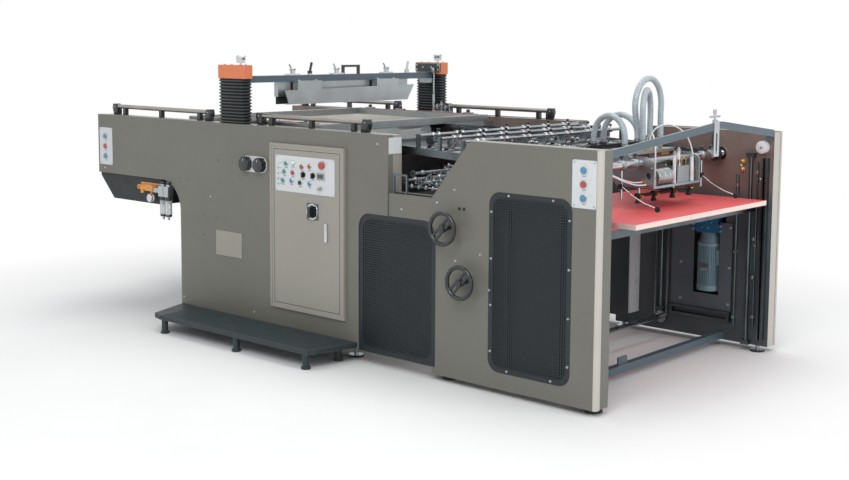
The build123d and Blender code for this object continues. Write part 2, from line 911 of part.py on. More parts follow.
save(side_plates, "side_plates")

station_names = ("run", "stop", "inch")
for end_name, station, face in (("feeder", feeder_station, cover_face), ("delivery", delivery_station, near_y)):
    for use, (x, z) in zip(station_names, station_centres(station)):
        with BuildPart() as station_push:
            push_button(x, z, face - station_sheet, station_button)
            fillet(front_edges(station_push), radius=station_button / 8)
        save(station_push, f"{end_name}_{use}_button")

for name, knob in zip(("left", "right"), knob_centres):
    with BuildPart() as air_knob:
        knob_x = back(knob)
        knob_face = near_y - station_sheet - slip
        with BuildSketch(side_plane(knob_face)):
            with Locations((knob_x, knob_z)):
                Circle(knob_radius)
                with PolarLocations(knob_radius + 5, 8):
                    Circle(9, mode=Mode.SUBTRACT)
        extrude(amount=knob_depth)
        rod_y(knob_x, knob_z, button_stem, knob_face, near_y)
    save(air_knob, f"air_knob_{name}")


def handwheel(wheel, spoke_turn):
    """Rimmed wheel with one flat bar spoke, its hub, grip and shaft."""
    wheel_x = back(wheel[0])
    wheel_z = wheel[1]
    wheel_face = cover_face - wheel_reach
    rim_plane = Plane(origin=(wheel_x, wheel_face, wheel_z), x_dir=(1, 0, 0), z_dir=(0, -1, 0))
    with BuildPart() as rim:
        with Locations(rim_plane):
            Torus(wheel_radius - wheel_rim, wheel_rim)
        with BuildSketch(rim_plane.offset(-wheel_rim / 2)):
            Rectangle(2 * wheel_radius - 2 * wheel_rim, 3.4 * wheel_rim, rotation=spoke_turn)
            with Locations((0, 0)):
                Circle(2 * wheel_rim)
        extrude(amount=wheel_rim)
        with BuildSketch(rim_plane.offset(-wheel_rim)):
            with PolarLocations(wheel_radius / 2, 2, start_angle=spoke_turn):
                SlotOverall(wheel_radius / 2, 1.4 * wheel_rim)
        extrude(amount=2 * wheel_rim, mode=Mode.SUBTRACT)
        rod_y(wheel_x, wheel_z, 1.6 * wheel_rim, wheel_face - wheel_rim, wheel_face + 2 * wheel_rim)
        rod_y(wheel_x, wheel_z, wheel_shaft, wheel_face, near_in + 2 * wheel_rim)
    return rim


upper = handwheel(upper_wheel, 45)
save(upper, "handwheel_upper")
lower = handwheel(lower_wheel, 45)
save(lower, "handwheel_lower")

# Operator's step: ribbed plate on tube legs
with BuildPart() as step_platform:
    step_y = near_y - fit_gap
    step_out = near_y - step_reach + leg_foot - leg_radius
    with BuildSketch(Plane.XY.offset(step_top - step_rib - step_thick)):
        with BuildLine():
            Polyline(
                (back(step_back[0]), step_y),
                (back(step_front[0] + step_corner), step_out + step_corner / 4),
                (back(step_front[0]), step_out),
                (back(step_front[1]), step_out),
                (back(step_front[1] - step_corner / 3), step_out + step_corner * 2 / 3),
                (back(step_back[1]), step_y),
                close=True,
            )
        make_face()
    extrude(amount=step_thick)
    ribs = 18
    for rib in range(ribs):
        rib_y = step_out + 22 + rib * (step_reach - 52) / (ribs - 1)
        block(
            back(step_front[0] - 10),
            back(step_front[1] + 14),
            rib_y,
            rib_y + 8,
            step_top - step_rib,
            step_top,
        )
    for leg_from_end in (step_front[0] - 26, (step_front[0] + step_front[1]) / 2 - 42, step_front[1] + 26):
        for leg_y in (near_y - step_reach + leg_foot, near_y - 48):
            leg_x = back(leg_from_end)
            rod_z(leg_x, leg_y, leg_foot, 0, leg_foot_height)
            rod_z(leg_x, leg_y, leg_radius, leg_foot_height, step_top - step_rib - step_thick)
save(step_platform, "step_platform")

# Fixed guides: the two lift columns and the carriage rails
rod_offsets = (-lift_rod_spread, lift_rod_spread)
with BuildPart() as machine_guides:
    for side in (0, 1):
        column_box(side, 0.0, column_foot, frame_top, Mode.ADD)
        for rod_offset in rod_offsets:
            rod_z(lift_x + rod_offset, side_y(side, lift_y), lift_rod + slip, column_foot, frame_top, Mode.SUBTRACT)
        inner = side_y(side, box_depth)
        outer = side_y(side, box_depth + rail_depth)
        block(back(rail_ends[0]), back(rail_ends[1]), min(inner, outer), max(inner, outer), rail_top - rail_height, rail_top)
save(machine_guides, "machine_guides")

# Pleated bellows over the lift rods
pleat_rows = 2 * bellows_pleats + 1
with BuildPart() as column_bellows:
    for side in (0, 1):
        post_y = side_y(side, lift_y)
        for row in range(pleat_rows):
            drawn_in = pleat_depth if row % 2 else 0.0
            row_z = frame_top + row * (cap_bottom - frame_top) / (pleat_rows - 1)
            with BuildSketch(Plane.XY.offset(row_z)):
                with Locations((lift_x, post_y)):
                    Rectangle(
                        2 * (lift_half - bellows_inset - drawn_in),
                        cap_in - cap_out - 2 * drawn_in,
                    )
        loft(ruled=True)
        void = pleat_depth + bellows_wall
        block(
            lift_x - lift_half + bellows_inset + void,
            lift_x + lift_half - bellows_inset - void,
            post_y - (cap_in - cap_out) / 2 + void,
            post_y + (cap_in - cap_out) / 2 - void,
            frame_top,
            cap_bottom,
            Mode.SUBTRACT,
        )
save(column_bellows, "column_bellows")

# Lift heads: a cap on each pair of rods, with its stroke dial
with BuildPart() as lift_heads:
    for side in (0, 1):
        post_y = side_y(side, lift_y)
        block(
            lift_x - lift_half,
            lift_x + lift_half,
            post_y - (cap_in - cap_out) / 2,
            post_y + (cap_in - cap_out) / 2,
            cap_bottom,
            cap_top,
        )
    fillet(lift_heads.edges().filter_by(Axis.Z), radius=6)
    for side in (0, 1):
        post_y = side_y(side, lift_y)
        for rod_offset in rod_offsets:
            rod_z(lift_x + rod_offset, post_y, lift_rod, column_foot + beam_rest, cap_bottom)
        rod_z(lift_x + 52, post_y, 8, cap_top, cap_top + 12)
        rod_z(lift_x + 52, post_y, 26, cap_top + 12, cap_top + 56)
        rod_z(lift_x + 98, post_y, 7, cap_top, cap_top + 8)
save(lift_heads, "lift_heads")

# Squeegee beam with its end blocks, clamps, hand grip and pressure cylinders
lever_near = 640.0
lever_far = 1530.0
beam_near = side_y(0, cap_in)
beam_far = side_y(1, cap_in)
barrel_places = ((470.0, 672.0), (1165.0, 1375.0))
barrel_drop = 92.0
barrel_front = lift_x + beam_half + 46
with BuildPart() as squeegee_beam:
    block(lift_x - beam_half, lift_x + beam_half, beam_near, beam_far, beam_bottom, beam_top)
    for y0, y1 in ((beam_near, beam_near + 34), (beam_far - 60, beam_far)):
        block(lift_x - beam_half, lift_x + 2 * beam_half, y0, y1, cap_bottom - 58, beam_bottom)
    for clamp in (495.0, 872.0, 1331.0):
        block(lift_x - 24, lift_x + 24, across(clamp - 44), across(clamp + 44), beam_top, beam_top + 9)
        rod_z(lift_x, across(clamp), 17, beam_top + 9, beam_top + 30)
        rod_z(lift_x, across(clamp), 7, beam_top + 30, beam_top + 44)
    for foot in (930.0, 1068.0):
        block(lift_x - 8, lift_x + 8, across(foot - 8), across(foot + 8), beam_top, beam_top + 44)
    block(lift_x - 8, lift_x + 8, across(922), across(1076), beam_top + 44, beam_top + 58)
    for lever in (lever_near, lever_far):
        rod_z(lift_x, across(lever), 16, beam_top, beam_top + 8)
    for start, end in barrel_places:
        with BuildSketch(side_plane(across(end))):
            with Locations((lift_x + beam_half, beam_bottom - barrel_drop / 2 + 6)):
                Rectangle(46, barrel_drop, align=(Align.MIN, Align.CENTER))
            with Locations((lift_x + beam_half + 22, beam_bottom - barrel_drop + 6)):
                Circle(22)
        extrude(amount=end - start)
save(squeegee_beam, "squeegee_beam")

for name, lever in (("near", lever_near), ("far", lever_far)):
    with BuildPart() as clamp_lever:
        lever_z = beam_top + 8 + slip
        lever_y = across(lever)
        rod_z(lift_x, lever_y, 15, lever_z, lever_z + 16)
        with BuildSketch(end_plane(lift_x + 5)):
            with BuildLine():
                Polyline(
                    (lever_y - 6, lever_z + 10),
                    (lever_y + 6, lever_z + 10),
                    (lever_y + 22, lever_z + 66),
                    (lever_y + 10, lever_z + 70),
                    close=True,
                )
            make_face()
        extrude(amount=-10)
    save(clamp_lever, f"clamp_lever_{name}")

# Squeegee: holder bar with its blade
squeegee_half = (squeegee_end - squeegee_start) / 2
squeegee_mid = across((squeegee_start + squeegee_end) / 2)
with BuildPart() as squeegee:
    block(
        lift_x - 18,
        lift_x + 18,
        squeegee_mid - squeegee_half,
        squeegee_mid + squeegee_half,
        blade_bottom + 46,
        beam_bottom,
    )
    block(
        lift_x - 5,
        lift_x + 5,
        squeegee_mid - squeegee_half,
        squeegee_mid + squeegee_half,
        blade_bottom,
        blade_bottom + 46,
    )
save(squeegee, "squeegee")

# Flood bar: a long folded sheet with slanted ends, screwed to the pressure cylinders
with BuildPart() as flood_bar:
    with BuildSketch(end_plane(barrel_front)):
        with BuildLine():
            Polyline(
                (across(squeegee_start), blade_bottom + trough_height),
                (across(squeegee_start + 30), blade_bottom + 6),
                (across(squeegee_end - 62), blade_bottom + 6),
                (across(squeegee_end), blade_bottom + trough_height + 14),
                close=True,
            )
        make_face()
    extrude(amount=4)
    block(
        barrel_front - 34,
        barrel_front + 4,
        across(squeegee_start + 30),
        across(squeegee_end - 62),
        blade_bottom,
        blade_bottom + 6,
    )
save(flood_bar, "flood_bar")

# Screen carriage: two beams on the rails and the tube frame of the screen
screen_left = lift_x - screen_length / 2
screen_right = lift_x + screen_length / 2
screen_bottom = mesh_z + mesh_sheet
with BuildPart() as screen_frame:
    block(screen_left, screen_right, across(screen_near), across(screen_far), screen_bottom, screen_bottom + screen_tube)
    block(
        screen_left + screen_tube,
        screen_right - screen_tube,
        across(screen_near + screen_tube),
        across(screen_far - screen_tube),
        screen_bottom,
        screen_bottom + screen_tube,
        Mode.SUBTRACT,
    )
    for side in (0, 1):
        inner = side_y(side, box_depth + slip)
        outer = side_y(side, screen_near + screen_tube)
        block(screen_left, screen_right, min(inner, outer), max(inner, outer), rail_top + slip, screen_bottom)
save(screen_frame, "screen_frame")

mesh_edge = screen_near + screen_tube + slip
with BuildPart() as screen_mesh:
    block(
        screen_left,
        screen_right,
        side_y(0, mesh_edge),
        side_y(1, mesh_edge),
        mesh_z,
        screen_bottom,
    )
save(screen_mesh, "screen_mesh")

# Impression cylinder: hollow drum with a gripper gap, end discs, shaft and gear
drum_wall = 16.0
gripper_gap = 60.0
with BuildPart() as impression_cylinder:
    rod_y(lift_x, cylinder_z, cylinder_radius, across(cylinder_near), across(cylinder_far))
    rod_y(
        lift_x,
        cylinder_z,
        cylinder_radius - drum_wall,
        across(cylinder_near + drum_wall),
        across(cylinder_far - drum_wall),
        Mode.SUBTRACT,
    )
    with BuildSketch(side_plane(across(cylinder_far))):
        with Locations((lift_x, cylinder_z - cylinder_radius - drum_wall)):
            Rectangle(5 * gripper_gap, 2 * gripper_gap)
    extrude(amount=cylinder_far - cylinder_near, mode=Mode.SUBTRACT)
    block(
        lift_x - 2.4 * gripper_gap,
        lift_x + 2.4 * gripper_gap,
        across(cylinder_near),
        across(cylinder_far),
        cylinder_z - cylinder_radius + gripper_gap - drum_wall,
        cylinder_z - cylinder_radius + gripper_gap,
    )
    rod_y(lift_x, cylinder_z, cylinder_shaft, near_y + cover_depth + 12, far_y - cover_depth - 12)
    with BuildSketch(side_plane(across(cylinder_far + 10 + gear_width))):
        with Locations((lift_x, cylinder_z)):
            Circle(gear_radius - 9)
            with PolarLocations(gear_radius - 5, gear_teeth):
                Rectangle(12, math.pi * gear_radius / gear_teeth)
    extrude(amount=gear_width)
save(impression_cylinder, "impression_cylinder")

# Feed table: two sloping side rails, tape rollers, tapes, register board and brackets
table_slope = (slope_high[1] - feeder_bar_z) / (slope_high[0] - feeder_bar_x)


def table_z(from_end):
    """Height of the side rail's middle line on the sloping part."""
    return feeder_bar_z + (from_end - feeder_bar_x) * table_slope


rail_inner_near = across(table_rail_near + table_rail_wide / 2)
rail_inner_far = across(table_rail_far - table_rail_wide / 2)
tape_start = table_rail_near + 140
tape_pitch = (table_rail_far - table_rail_near - 280) / (tape_count - 1)
tape_places = [across(tape_start + tape * tape_pitch) for tape in range(tape_count)]
roller_first = slope_high[0] - 60
wheel_drop = 34.0
with BuildPart() as feed_table:
    half = table_rail / 2
    for rail_y in (table_rail_near, table_rail_far):
        with BuildSketch(side_plane(across(rail_y + table_rail_wide / 2))):
            with BuildLine():
                Polyline(
                    (back(feeder_bar_x), feeder_bar_z - half),
                    (back(feeder_bar_x), feeder_bar_z + half),
                    (back(slope_high[0]), slope_high[1] + half),
                    (back(board_low[0]), board_low[1] + half),
                    (back(board_low[0]), board_low[1] - half),
                    (back(slope_high[0]), slope_high[1] - half),
                    close=True,
                )
            make_face()
            with Locations((back(feeder_bar_x), feeder_bar_z)):
                Circle(feeder_bar + table_rail / 2)
                Circle(feeder_bar + slip, mode=Mode.SUBTRACT)
        extrude(amount=table_rail_wide)
    with BuildSketch(side_plane(rail_inner_far)):
        with BuildLine():
            Polyline(
                (back(slope_high[0]), slope_high[1] + bed_sheet),
                (back(board_low[0]), board_low[1] + bed_sheet),
                (back(board_low[0]), board_low[1]),
                (back(slope_high[0]), slope_high[1]),
                close=True,
            )
        make_face()
    extrude(amount=rail_inner_far - rail_inner_near)
    for roller in range(roller_count):
        roller_at = roller_first - roller * (roller_first - roller_last) / (roller_count - 1)
        rod_y(back(roller_at), table_z(roller_at), roller_radius, rail_inner_near, rail_inner_far)
    for bracket_at in table_brackets:
        bracket_z = table_z(min(bracket_at, slope_high[0]))
        bracket_near = rail_inner_near - table_rail_wide
        bracket_far = rail_inner_far + table_rail_wide
        for inner, outer in ((near_in, bracket_near), (bracket_far, far_in)):
            block(back(bracket_at) - 14, back(bracket_at) + 14, inner, outer, bracket_z - 12, bracket_z + 12)
    tape_rise = roller_radius - tape_sink
    for tape_y in tape_places:
        with BuildSketch(side_plane(tape_y + tape_wide / 2)):
            with BuildLine():
                Polyline(
                    (back(roller_last), table_z(roller_last) + tape_rise),
                    (back(roller_first), table_z(roller_first) + tape_rise),
                    (back(roller_first), table_z(roller_first) + tape_rise + tape_sheet),
                    (back(roller_last), table_z(roller_last) + tape_rise + tape_sheet),
                    close=True,
                )
            make_face()
        extrude(amount=tape_wide)
    for bar_at in wheel_bars:
        wheel_at = bar_at + 38
        wheel_z = table_z(wheel_at) + tape_rise + tape_sheet - tape_sink + wheel_radius_small
        bar_z = wheel_z + wheel_drop
        rod_y(back(bar_at), bar_z, wheel_bar, across(table_rail_near), across(table_rail_far))
        for rail_y in (table_rail_near, table_rail_far):
            block(
                back(bar_at) - wheel_bar,
                back(bar_at) + wheel_bar,
                across(rail_y) - wheel_bar,
                across(rail_y) + wheel_bar,
                table_z(bar_at),
                bar_z + wheel_bar,
            )
        for tape_y in tape_places:
            rod_y(back(wheel_at), wheel_z, wheel_radius_small, tape_y - 7, tape_y + 7)
            block(back(wheel_at + 6), back(bar_at - 4), tape_y + 7, tape_y + 13, wheel_z - 8, bar_z + 8)
save(feed_table, "feed_table")

# Feeder head on its cross bar, with the vacuum manifolds and their spigots
heads_x = back(feeder_bar_x)


def hose_place(base, target, distance):
    """X and Y at a distance along the line from one place to another."""
    reach = math.dist(base, target)
    share = distance / reach
    from_end = base[0] + (target[0] - base[0]) * share
    return back(from_end), across(base[1] + (target[1] - base[1]) * share)


def hose_points(base, target, profile):
    """Route of a hose that lies in one upright plane."""
    return [(*hose_place(base, target, distance), z) for distance, z in profile]


# Routes of the free hoses: distance along the plane and height
tall_hose = hose_points(
    (470.0, 0.0),
    (470.0, 1000.0),
    (
        (1056, 1212),
        (1056, 1280),
        (1030, 1350),
        (1022, 1428),
        (1056, 1500),
        (1120, 1546),
        (1198, 1546),
        (1262, 1500),
        (1292, 1426),
        (1286, 1346),
        (1290, 1275),
        (1290, 1212),
    ),
)
inner_hose = hose_points(
    (417.0, 1015.0),
    (527.0, 1280.0),
    (
        (30, 1212),
        (30, 1268),
        (9, 1330),
        (12, 1400),
        (54, 1460),
        (122, 1488),
        (196, 1475),
        (252, 1424),
        (271, 1352),
        (259, 1278),
        (259, 1212),
    ),
)
low_profile = ((0, 1186), (0, 1262), (46, 1325), (122, 1350), (198, 1325), (244, 1262), (244, 1186))
low_hose = hose_points((740.0, 1038.0), (483.0, 980.0), low_profile)
rear_hose = hose_points((752.0, 1150.0), (508.0, 1126.0), low_profile)
hose_routes = (tall_hose, inner_hose, low_hose, rear_hose)
air_routes = (
    (
        (back(250), across(885), 1033),
        (back(250), across(885), 1120),
        (back(254), across(890), 1205),
        (back(292), across(926), 1262),
        (back(352), across(1000), 1262),
        (back(405), across(1040), 1222),
        (back(405), across(1040), 1164),
    ),
    (
        (back(420), across(1090), 1164),
        (back(420), across(1090), 1228),
        (back(392), across(1116), 1290),
        (back(340), across(1178), 1306),
        (back(296), across(1250), 1262),
        (back(272), across(1284), 1190),
        (back(262), across(1294), 1110),
        (back(262), across(1294), 1033),
    ),
)
wall_tube = (
    (box_depth, 1182.0),
    (190.0, 1182.0),
    (300.0, 1163.0),
    (405.0, 1131.0),
    (510.0, 1091.0),
    (615.0, 1055.0),
    (715.0, 1028.0),
    (785.0, 1017.0),
    (head_near, 1017.0),
)
wall_tubes = [
    [(back(from_end), across(y), z - drop) for y, z in wall_tube]
    for from_end, drop in ((300.0, 0.0), (276.0, 12.0))
]

with BuildPart() as feeder_head:
    rod_y(heads_x, feeder_bar_z, feeder_bar, near_in, far_in)
    for flange_y in (near_in, far_in - 10):
        rod_y(heads_x, feeder_bar_z, 2 * feeder_bar, flange_y, flange_y + 10)
    head_rear = back(manifold_rear)
    head_front = back(head_end)
    for plate_y in (head_near, head_far - head_plate):
        with BuildSketch(side_plane(across(plate_y + head_plate))):
            with BuildLine():
                Polyline(
                    (head_rear, manifold_bottom),
                    (head_rear, manifold_bottom - 70),
                    (head_rear + 90, head_bottom),
                    (head_front, head_bottom),
                    (head_front, feeder_bar_z + 10),
                    (head_front - 50, manifold_bottom),
                    close=True,
                )
            make_face()
            with Locations((back(270), 1050)):
                Circle(16, mode=Mode.SUBTRACT)
            with Locations((back(430), 1080)):
                Circle(20, mode=Mode.SUBTRACT)
        extrude(amount=head_plate)
    block(head_rear, back(manifold_front), across(head_near), across(head_far), manifold_bottom, manifold_top)
    block(head_rear + 90, head_front, across(head_near), across(head_far), head_bottom, head_bottom + head_plate)
    rod_y(back(275), head_bottom + head_plate + 41, 42, across(head_near + 52), across(head_near + 200))
    block(back(320), back(250), across(1110), across(1230), head_bottom + head_plate, 1085)
    block(back(470), back(410), across(980), across(1190), head_bottom + head_plate, 1060)
    for route in (tall_hose, inner_hose):
        for end in (route[0], route[-1]):
            rod_z(end[0], end[1], spigot, manifold_top, end[2])
    for route in (low_hose, rear_hose):
        rod_z(route[-1][0], route[-1][1], spigot, manifold_top, route[-1][2])
        rod_z(route[0][0], route[0][1], spigot, line_bottom, route[0][2])
    line_rear = back(line_x) - line_half / 2
    block(line_rear, line_rear + line_half, near_in, far_in, line_bottom, line_bottom + 16)
    for fitting_at, fitting_y, fitting_z in ((250, 885, 1033), (262, 1294, 1033)):
        rod_z(back(fitting_at), across(fitting_y), 7, head_bottom + head_plate, fitting_z)
    for sucker_rod in (head_near + 60, head_far - 60):
        rod_z(
            back(sucker_x),
            across(sucker_rod),
            7 + slip,
            head_bottom,
            head_bottom + head_plate,
            Mode.SUBTRACT,
        )
save(feeder_head, "feeder_head")

# Sucker bar: rods through the head, cross bar and four cups
cup_bottom = board_top + 24
with BuildPart() as sucker_bar:
    rod_y(back(sucker_x), sucker_z, 9, across(sucker_places[0] - 30), across(sucker_places[-1] + 30))
    for sucker_rod in (head_near + 60, head_far - 60):
        rod_z(back(sucker_x), across(sucker_rod), 7, sucker_z, head_bottom + 4 * head_plate)
    for sucker in sucker_places:
        block(
            back(sucker_x) - 13,
            back(sucker_x) + 13,
            across(sucker - 13),
            across(sucker + 13),
            sucker_z - 13,
            sucker_z + 13,
        )
        with Locations((back(sucker_x), across(sucker), (cup_bottom + sucker_z - 13) / 2)):
            Cone(17, 8, sucker_z - 13 - cup_bottom)
save(sucker_bar, "sucker_bar")


def hose_radii(route):
    """Largest radii that the runs of a route allow, one for each corner."""
    radii = []
    for before, corner, after in zip(route, route[1:], route[2:]):
        run_in = Vector(*corner) - Vector(*before)
        run_out = Vector(*after) - Vector(*corner)
        half_turn = math.radians(run_in.get_angle(run_out) / 2)
        radii.append(0.45 * min(run_in.length, run_out.length) / math.tan(half_turn))
    return radii


def tube(route, radius):
    """Plain tube along straight runs joined by tangent arcs."""
    radii = hose_radii(route)
    with BuildPart() as hose:
        with BuildLine() as path:
            FilletPolyline(*route, radius=radii)
        start = path.line @ 0
        heading = path.line % 0
        with BuildSketch(Plane(origin=start, z_dir=heading)):
            Circle(radius)
        sweep()
    path_length = sum(edge.length for edge in path.line.edges())
    expected = math.pi * radius**2 * path_length
    print(
        f"hose of radius {radius}: length {path_length:.0f}, radii",
        " ".join(f"{value:.0f}" for value in radii),
        f"volume over expected {hose.part.volume / expected:.4f}",
    )
    return hose.part


with BuildPart() as feeder_hoses:
    for route in hose_routes:
        add(tube(route, hose_radius))
    for route in (*air_routes, *wall_tubes):
        add(tube(route, air_tube_radius))
save(feeder_hoses, "feeder_hoses")

# Pile board with the two carrier bars that hang in the lift
board_x1 = feed_x - board_front
carrier_top = board_top - board_sheet
rod_near = near_in + guide_rod_out
rod_far = far_in - guide_rod_out
with BuildPart() as pile_board:
    block(board_x1 - board_length, board_x1, across(board_near), across(board_far), carrier_top, board_top)
    block(
        board_x1 - board_length + board_rim,
        board_x1 - board_rim,
        across(board_near) + board_rim,
        across(board_far) - board_rim,
        carrier_top,
        board_top - board_skin,
        Mode.SUBTRACT,
    )
    rib_pitch = (board_far - board_near) / (board_ribs + 1)
    for rib in range(board_ribs):
        rib_mid = across(board_near) + (rib + 1) * rib_pitch
        block(
            board_x1 - board_length + board_rim,
            board_x1 - board_rim,
            rib_mid - board_rim / 2,
            rib_mid + board_rim / 2,
            carrier_top,
            board_top - board_skin,
        )
    for carrier in carrier_places:
        block(
            back(carrier) - carrier_width / 2,
            back(carrier) + carrier_width / 2,
            near_in + 2,
            far_in - 2,
            carrier_top - carrier_height,
            carrier_top,
        )
        for rod_y_place in (rod_near, rod_far):
            rod_z(
                back(carrier),
                rod_y_place,
                guide_rod + slip,
                carrier_top - carrier_height,
                board_top,
                Mode.SUBTRACT,
            )
save(pile_board, "pile_board")

# Pile lift on both inner walls: guide rods, brackets, chains, idlers and the drive's plate
with BuildPart() as pile_lift_frame:
    for side in (0, 1):
        wall = side_y(side, box_depth)
        reach = side_y(side, box_depth + 2 * guide_rod_out)
        y0, y1 = min(wall, reach), max(wall, reach)
        rod_at = side_y(side, box_depth + guide_rod_out)
        for carrier, (rod_low, rod_high) in zip(carrier_places, (front_rods, rear_rods)):
            rod_z(back(carrier), rod_at, guide_rod, rod_low, rod_high)
            for bracket_z in (rod_low - guide_bracket, rod_high):
                block(
                    back(carrier) - guide_bracket,
                    back(carrier) + guide_bracket,
                    y0,
                    y1,
                    bracket_z,
                    bracket_z + guide_bracket,
                )
        chain_0 = side_y(side, box_depth + 6)
        chain_1 = side_y(side, box_depth + 6 + chain_deep)
        idler_1 = side_y(side, box_depth + 10 + 2 * chain_deep)
        for strand in (-1, 1):
            strand_x = lift_shaft_x + strand * (sprocket_radius + slip + chain_wide / 2)
            block(
                strand_x - chain_wide / 2,
                strand_x + chain_wide / 2,
                min(chain_0, chain_1),
                max(chain_0, chain_1),
                lift_shaft_z,
                idler_z,
            )
        idler_radius = sprocket_radius + chain_wide / 2
        rod_y(lift_shaft_x, idler_z, idler_radius, min(wall, idler_1), max(wall, idler_1))
        for upright in uprights:
            block(back(upright) - 5, back(upright) + 5, y0, y1, feeder_bottom + 40, front_rods[1])
    rod_y(back(disc_x), disc_z, sprocket_radius, far_in - 26, far_in)
    block(
        back(motor_plate[0]),
        back(motor_plate[1]),
        far_in - motor_plate_sheet,
        far_in,
        motor_plate[2],
        motor_plate[3],
    )
    block(
        back(motor_x) - motor_slot,
        back(motor_x) + motor_slot,
        far_in - motor_plate_sheet,
        far_in,
        motor_opening[2],
        motor_plate[3],
        Mode.SUBTRACT,
    )
    for frame_z in (motor_plate[2] - 60, motor_plate[2] - 16):
        block(back(motor_plate[0]), back(motor_plate[1]), far_in - 30, far_in, frame_z, frame_z + 16)
    for frame_x in (motor_plate[0], motor_plate[1] + 20):
        block(
            back(frame_x),
            back(frame_x - 20),
            far_in - 30,
            far_in,
            motor_plate[2] - 44,
            motor_plate[2] - 16,
        )
    block(
        back(white_upright[0]) - motor_plate_sheet,
        back(white_upright[0]),
        far_in - white_upright[1],
        far_in,
        white_upright[2],
        white_upright[3],
    )
save(pile_lift_frame, "pile_lift_frame")

# Lift shaft across the machine with its two sprockets
with BuildPart() as pile_shaft:
    rod_y(lift_shaft_x, lift_shaft_z, lift_shaft, near_in - frame_plate, far_in + frame_plate)
    for sprocket_y in (near_in + 6, far_in - 6 - chain_deep):
        rod_y(lift_shaft_x, lift_shaft_z, sprocket_radius, sprocket_y, sprocket_y + chain_deep)
save(pile_shaft, "pile_shaft")

# Gear motor of the pile lift, upright in its opening and bolted to the plate by a flange
motor_y = far_in + motor_recess
end_cap = 34.0
shell_cap = 20.0
with BuildPart() as gear_motor:
    with BuildSketch(Plane.XY.offset(motor_bottom + end_cap)):
        with Locations((back(motor_x), motor_y)):
            Circle(motor_radius - 10)
            with PolarLocations(motor_radius - 7, fin_count):
                Rectangle(14, 5)
    extrude(amount=motor_top - motor_bottom - end_cap - shell_cap)
    rod_z(back(motor_x), motor_y, motor_radius, motor_bottom, motor_bottom + end_cap)
    rod_z(back(motor_x), motor_y, motor_radius, motor_top - shell_cap, motor_top)
    with Locations((back(motor_x), motor_y, (motor_top + gearbox_bottom) / 2)):
        Cone(motor_radius - 8, motor_radius - 22, gearbox_bottom - motor_top)
    block(
        back(motor_x) - gearbox_half,
        back(motor_x) + gearbox_half,
        motor_y - gearbox_half + 8,
        motor_y + gearbox_half,
        gearbox_bottom,
        gearbox_top,
    )
    block(
        back(motor_x) - motor_flange_half,
        back(motor_x) + motor_flange_half,
        far_in - motor_plate_sheet - 8,
        far_in - motor_plate_sheet,
        motor_flange[0],
        motor_flange[1],
    )
    rod_y(back(motor_x), gearbox_top - 62, 44, motor_y - gearbox_half - 2, motor_y - gearbox_half + 8)
    block(
        back(motor_x) + motor_radius - 12,
        back(motor_x) + motor_radius + 10,
        motor_y - 38,
        motor_y + 38,
        motor_top - 130,
        motor_top - 40,
    )
save(gear_motor, "gear_motor")

# Top bar of the feeder end, a bent flat bar between the frames
bar_x = feed_x - 4
with BuildPart() as feeder_top_bar:
    with BuildSketch(end_plane(bar_x)):
        with BuildLine():
            crest = FilletPolyline(
                (near_in, top_bar_near_z + top_bar_depth / 2),
                (across(top_bar_peak), top_bar_peak_z + top_bar_depth / 2),
                (far_in, top_bar_far_z + top_bar_depth / 2),
                radius=top_bar_bend,
            )
            belly = FilletPolyline(
                (near_in, top_bar_near_z - top_bar_depth / 2),
                (across(top_bar_peak), top_bar_peak_z - top_bar_depth / 2),
                (far_in, top_bar_far_z - top_bar_depth / 2),
                radius=top_bar_bend,
            )
            Line(crest @ 0, belly @ 0)
            Line(crest @ 1, belly @ 1)
        make_face()
    extrude(amount=-top_bar_sheet)
    for side in (0, 1):
        wall = side_y(side, box_depth)
        foot = side_y(side, box_depth + 8)
        foot_z = top_bar_far_z if side else top_bar_near_z
        block(bar_x - 50, bar_x - top_bar_sheet, min(wall, foot), max(wall, foot), foot_z - 40, foot_z + 5)
save(feeder_top_bar, "feeder_top_bar")

# Pile stop: slotted plate hung over the top bar with its wing knob
stop_y = 1067.0
stop_wide = 54.0
stop_bottom = 1156.0
stop_sheet = 3.0
stop_slot = 15.0
stop_top = top_bar_peak_z + top_bar_depth / 2 + 2
with BuildPart() as pile_stop:
    with BuildSketch(end_plane(bar_x + slip + stop_sheet)):
        with BuildLine():
            Polyline(
                (across(stop_y - stop_wide / 2), stop_bottom),
                (across(stop_y + stop_wide / 2), stop_bottom),
                (across(stop_y + stop_wide / 2), stop_top),
                (across(stop_y - stop_wide / 2), stop_top),
                close=True,
            )
        make_face()
        with Locations((across(stop_y), stop_bottom + 68)):
            SlotOverall(110, stop_slot, rotation=90, mode=Mode.SUBTRACT)
    extrude(amount=-stop_sheet)
    rear_x = bar_x - top_bar_sheet - slip
    block(rear_x - 8, bar_x + slip + stop_sheet, across(stop_y - 12), across(stop_y + 12), stop_top, stop_top + 8)
    block(rear_x - 8, rear_x, across(stop_y - 12), across(stop_y + 12), stop_bottom + 8, stop_top)
    rod_z(bar_x - top_bar_sheet, across(stop_y), 6, stop_top + 8, stop_top + 44)
    rod_z(bar_x - top_bar_sheet, across(stop_y), 10, stop_top + 38, stop_top + 60)
    rod_y(bar_x - top_bar_sheet, stop_top + 24, 6, across(stop_y - 48), across(stop_y + 48))
save(pile_stop, "pile_stop")

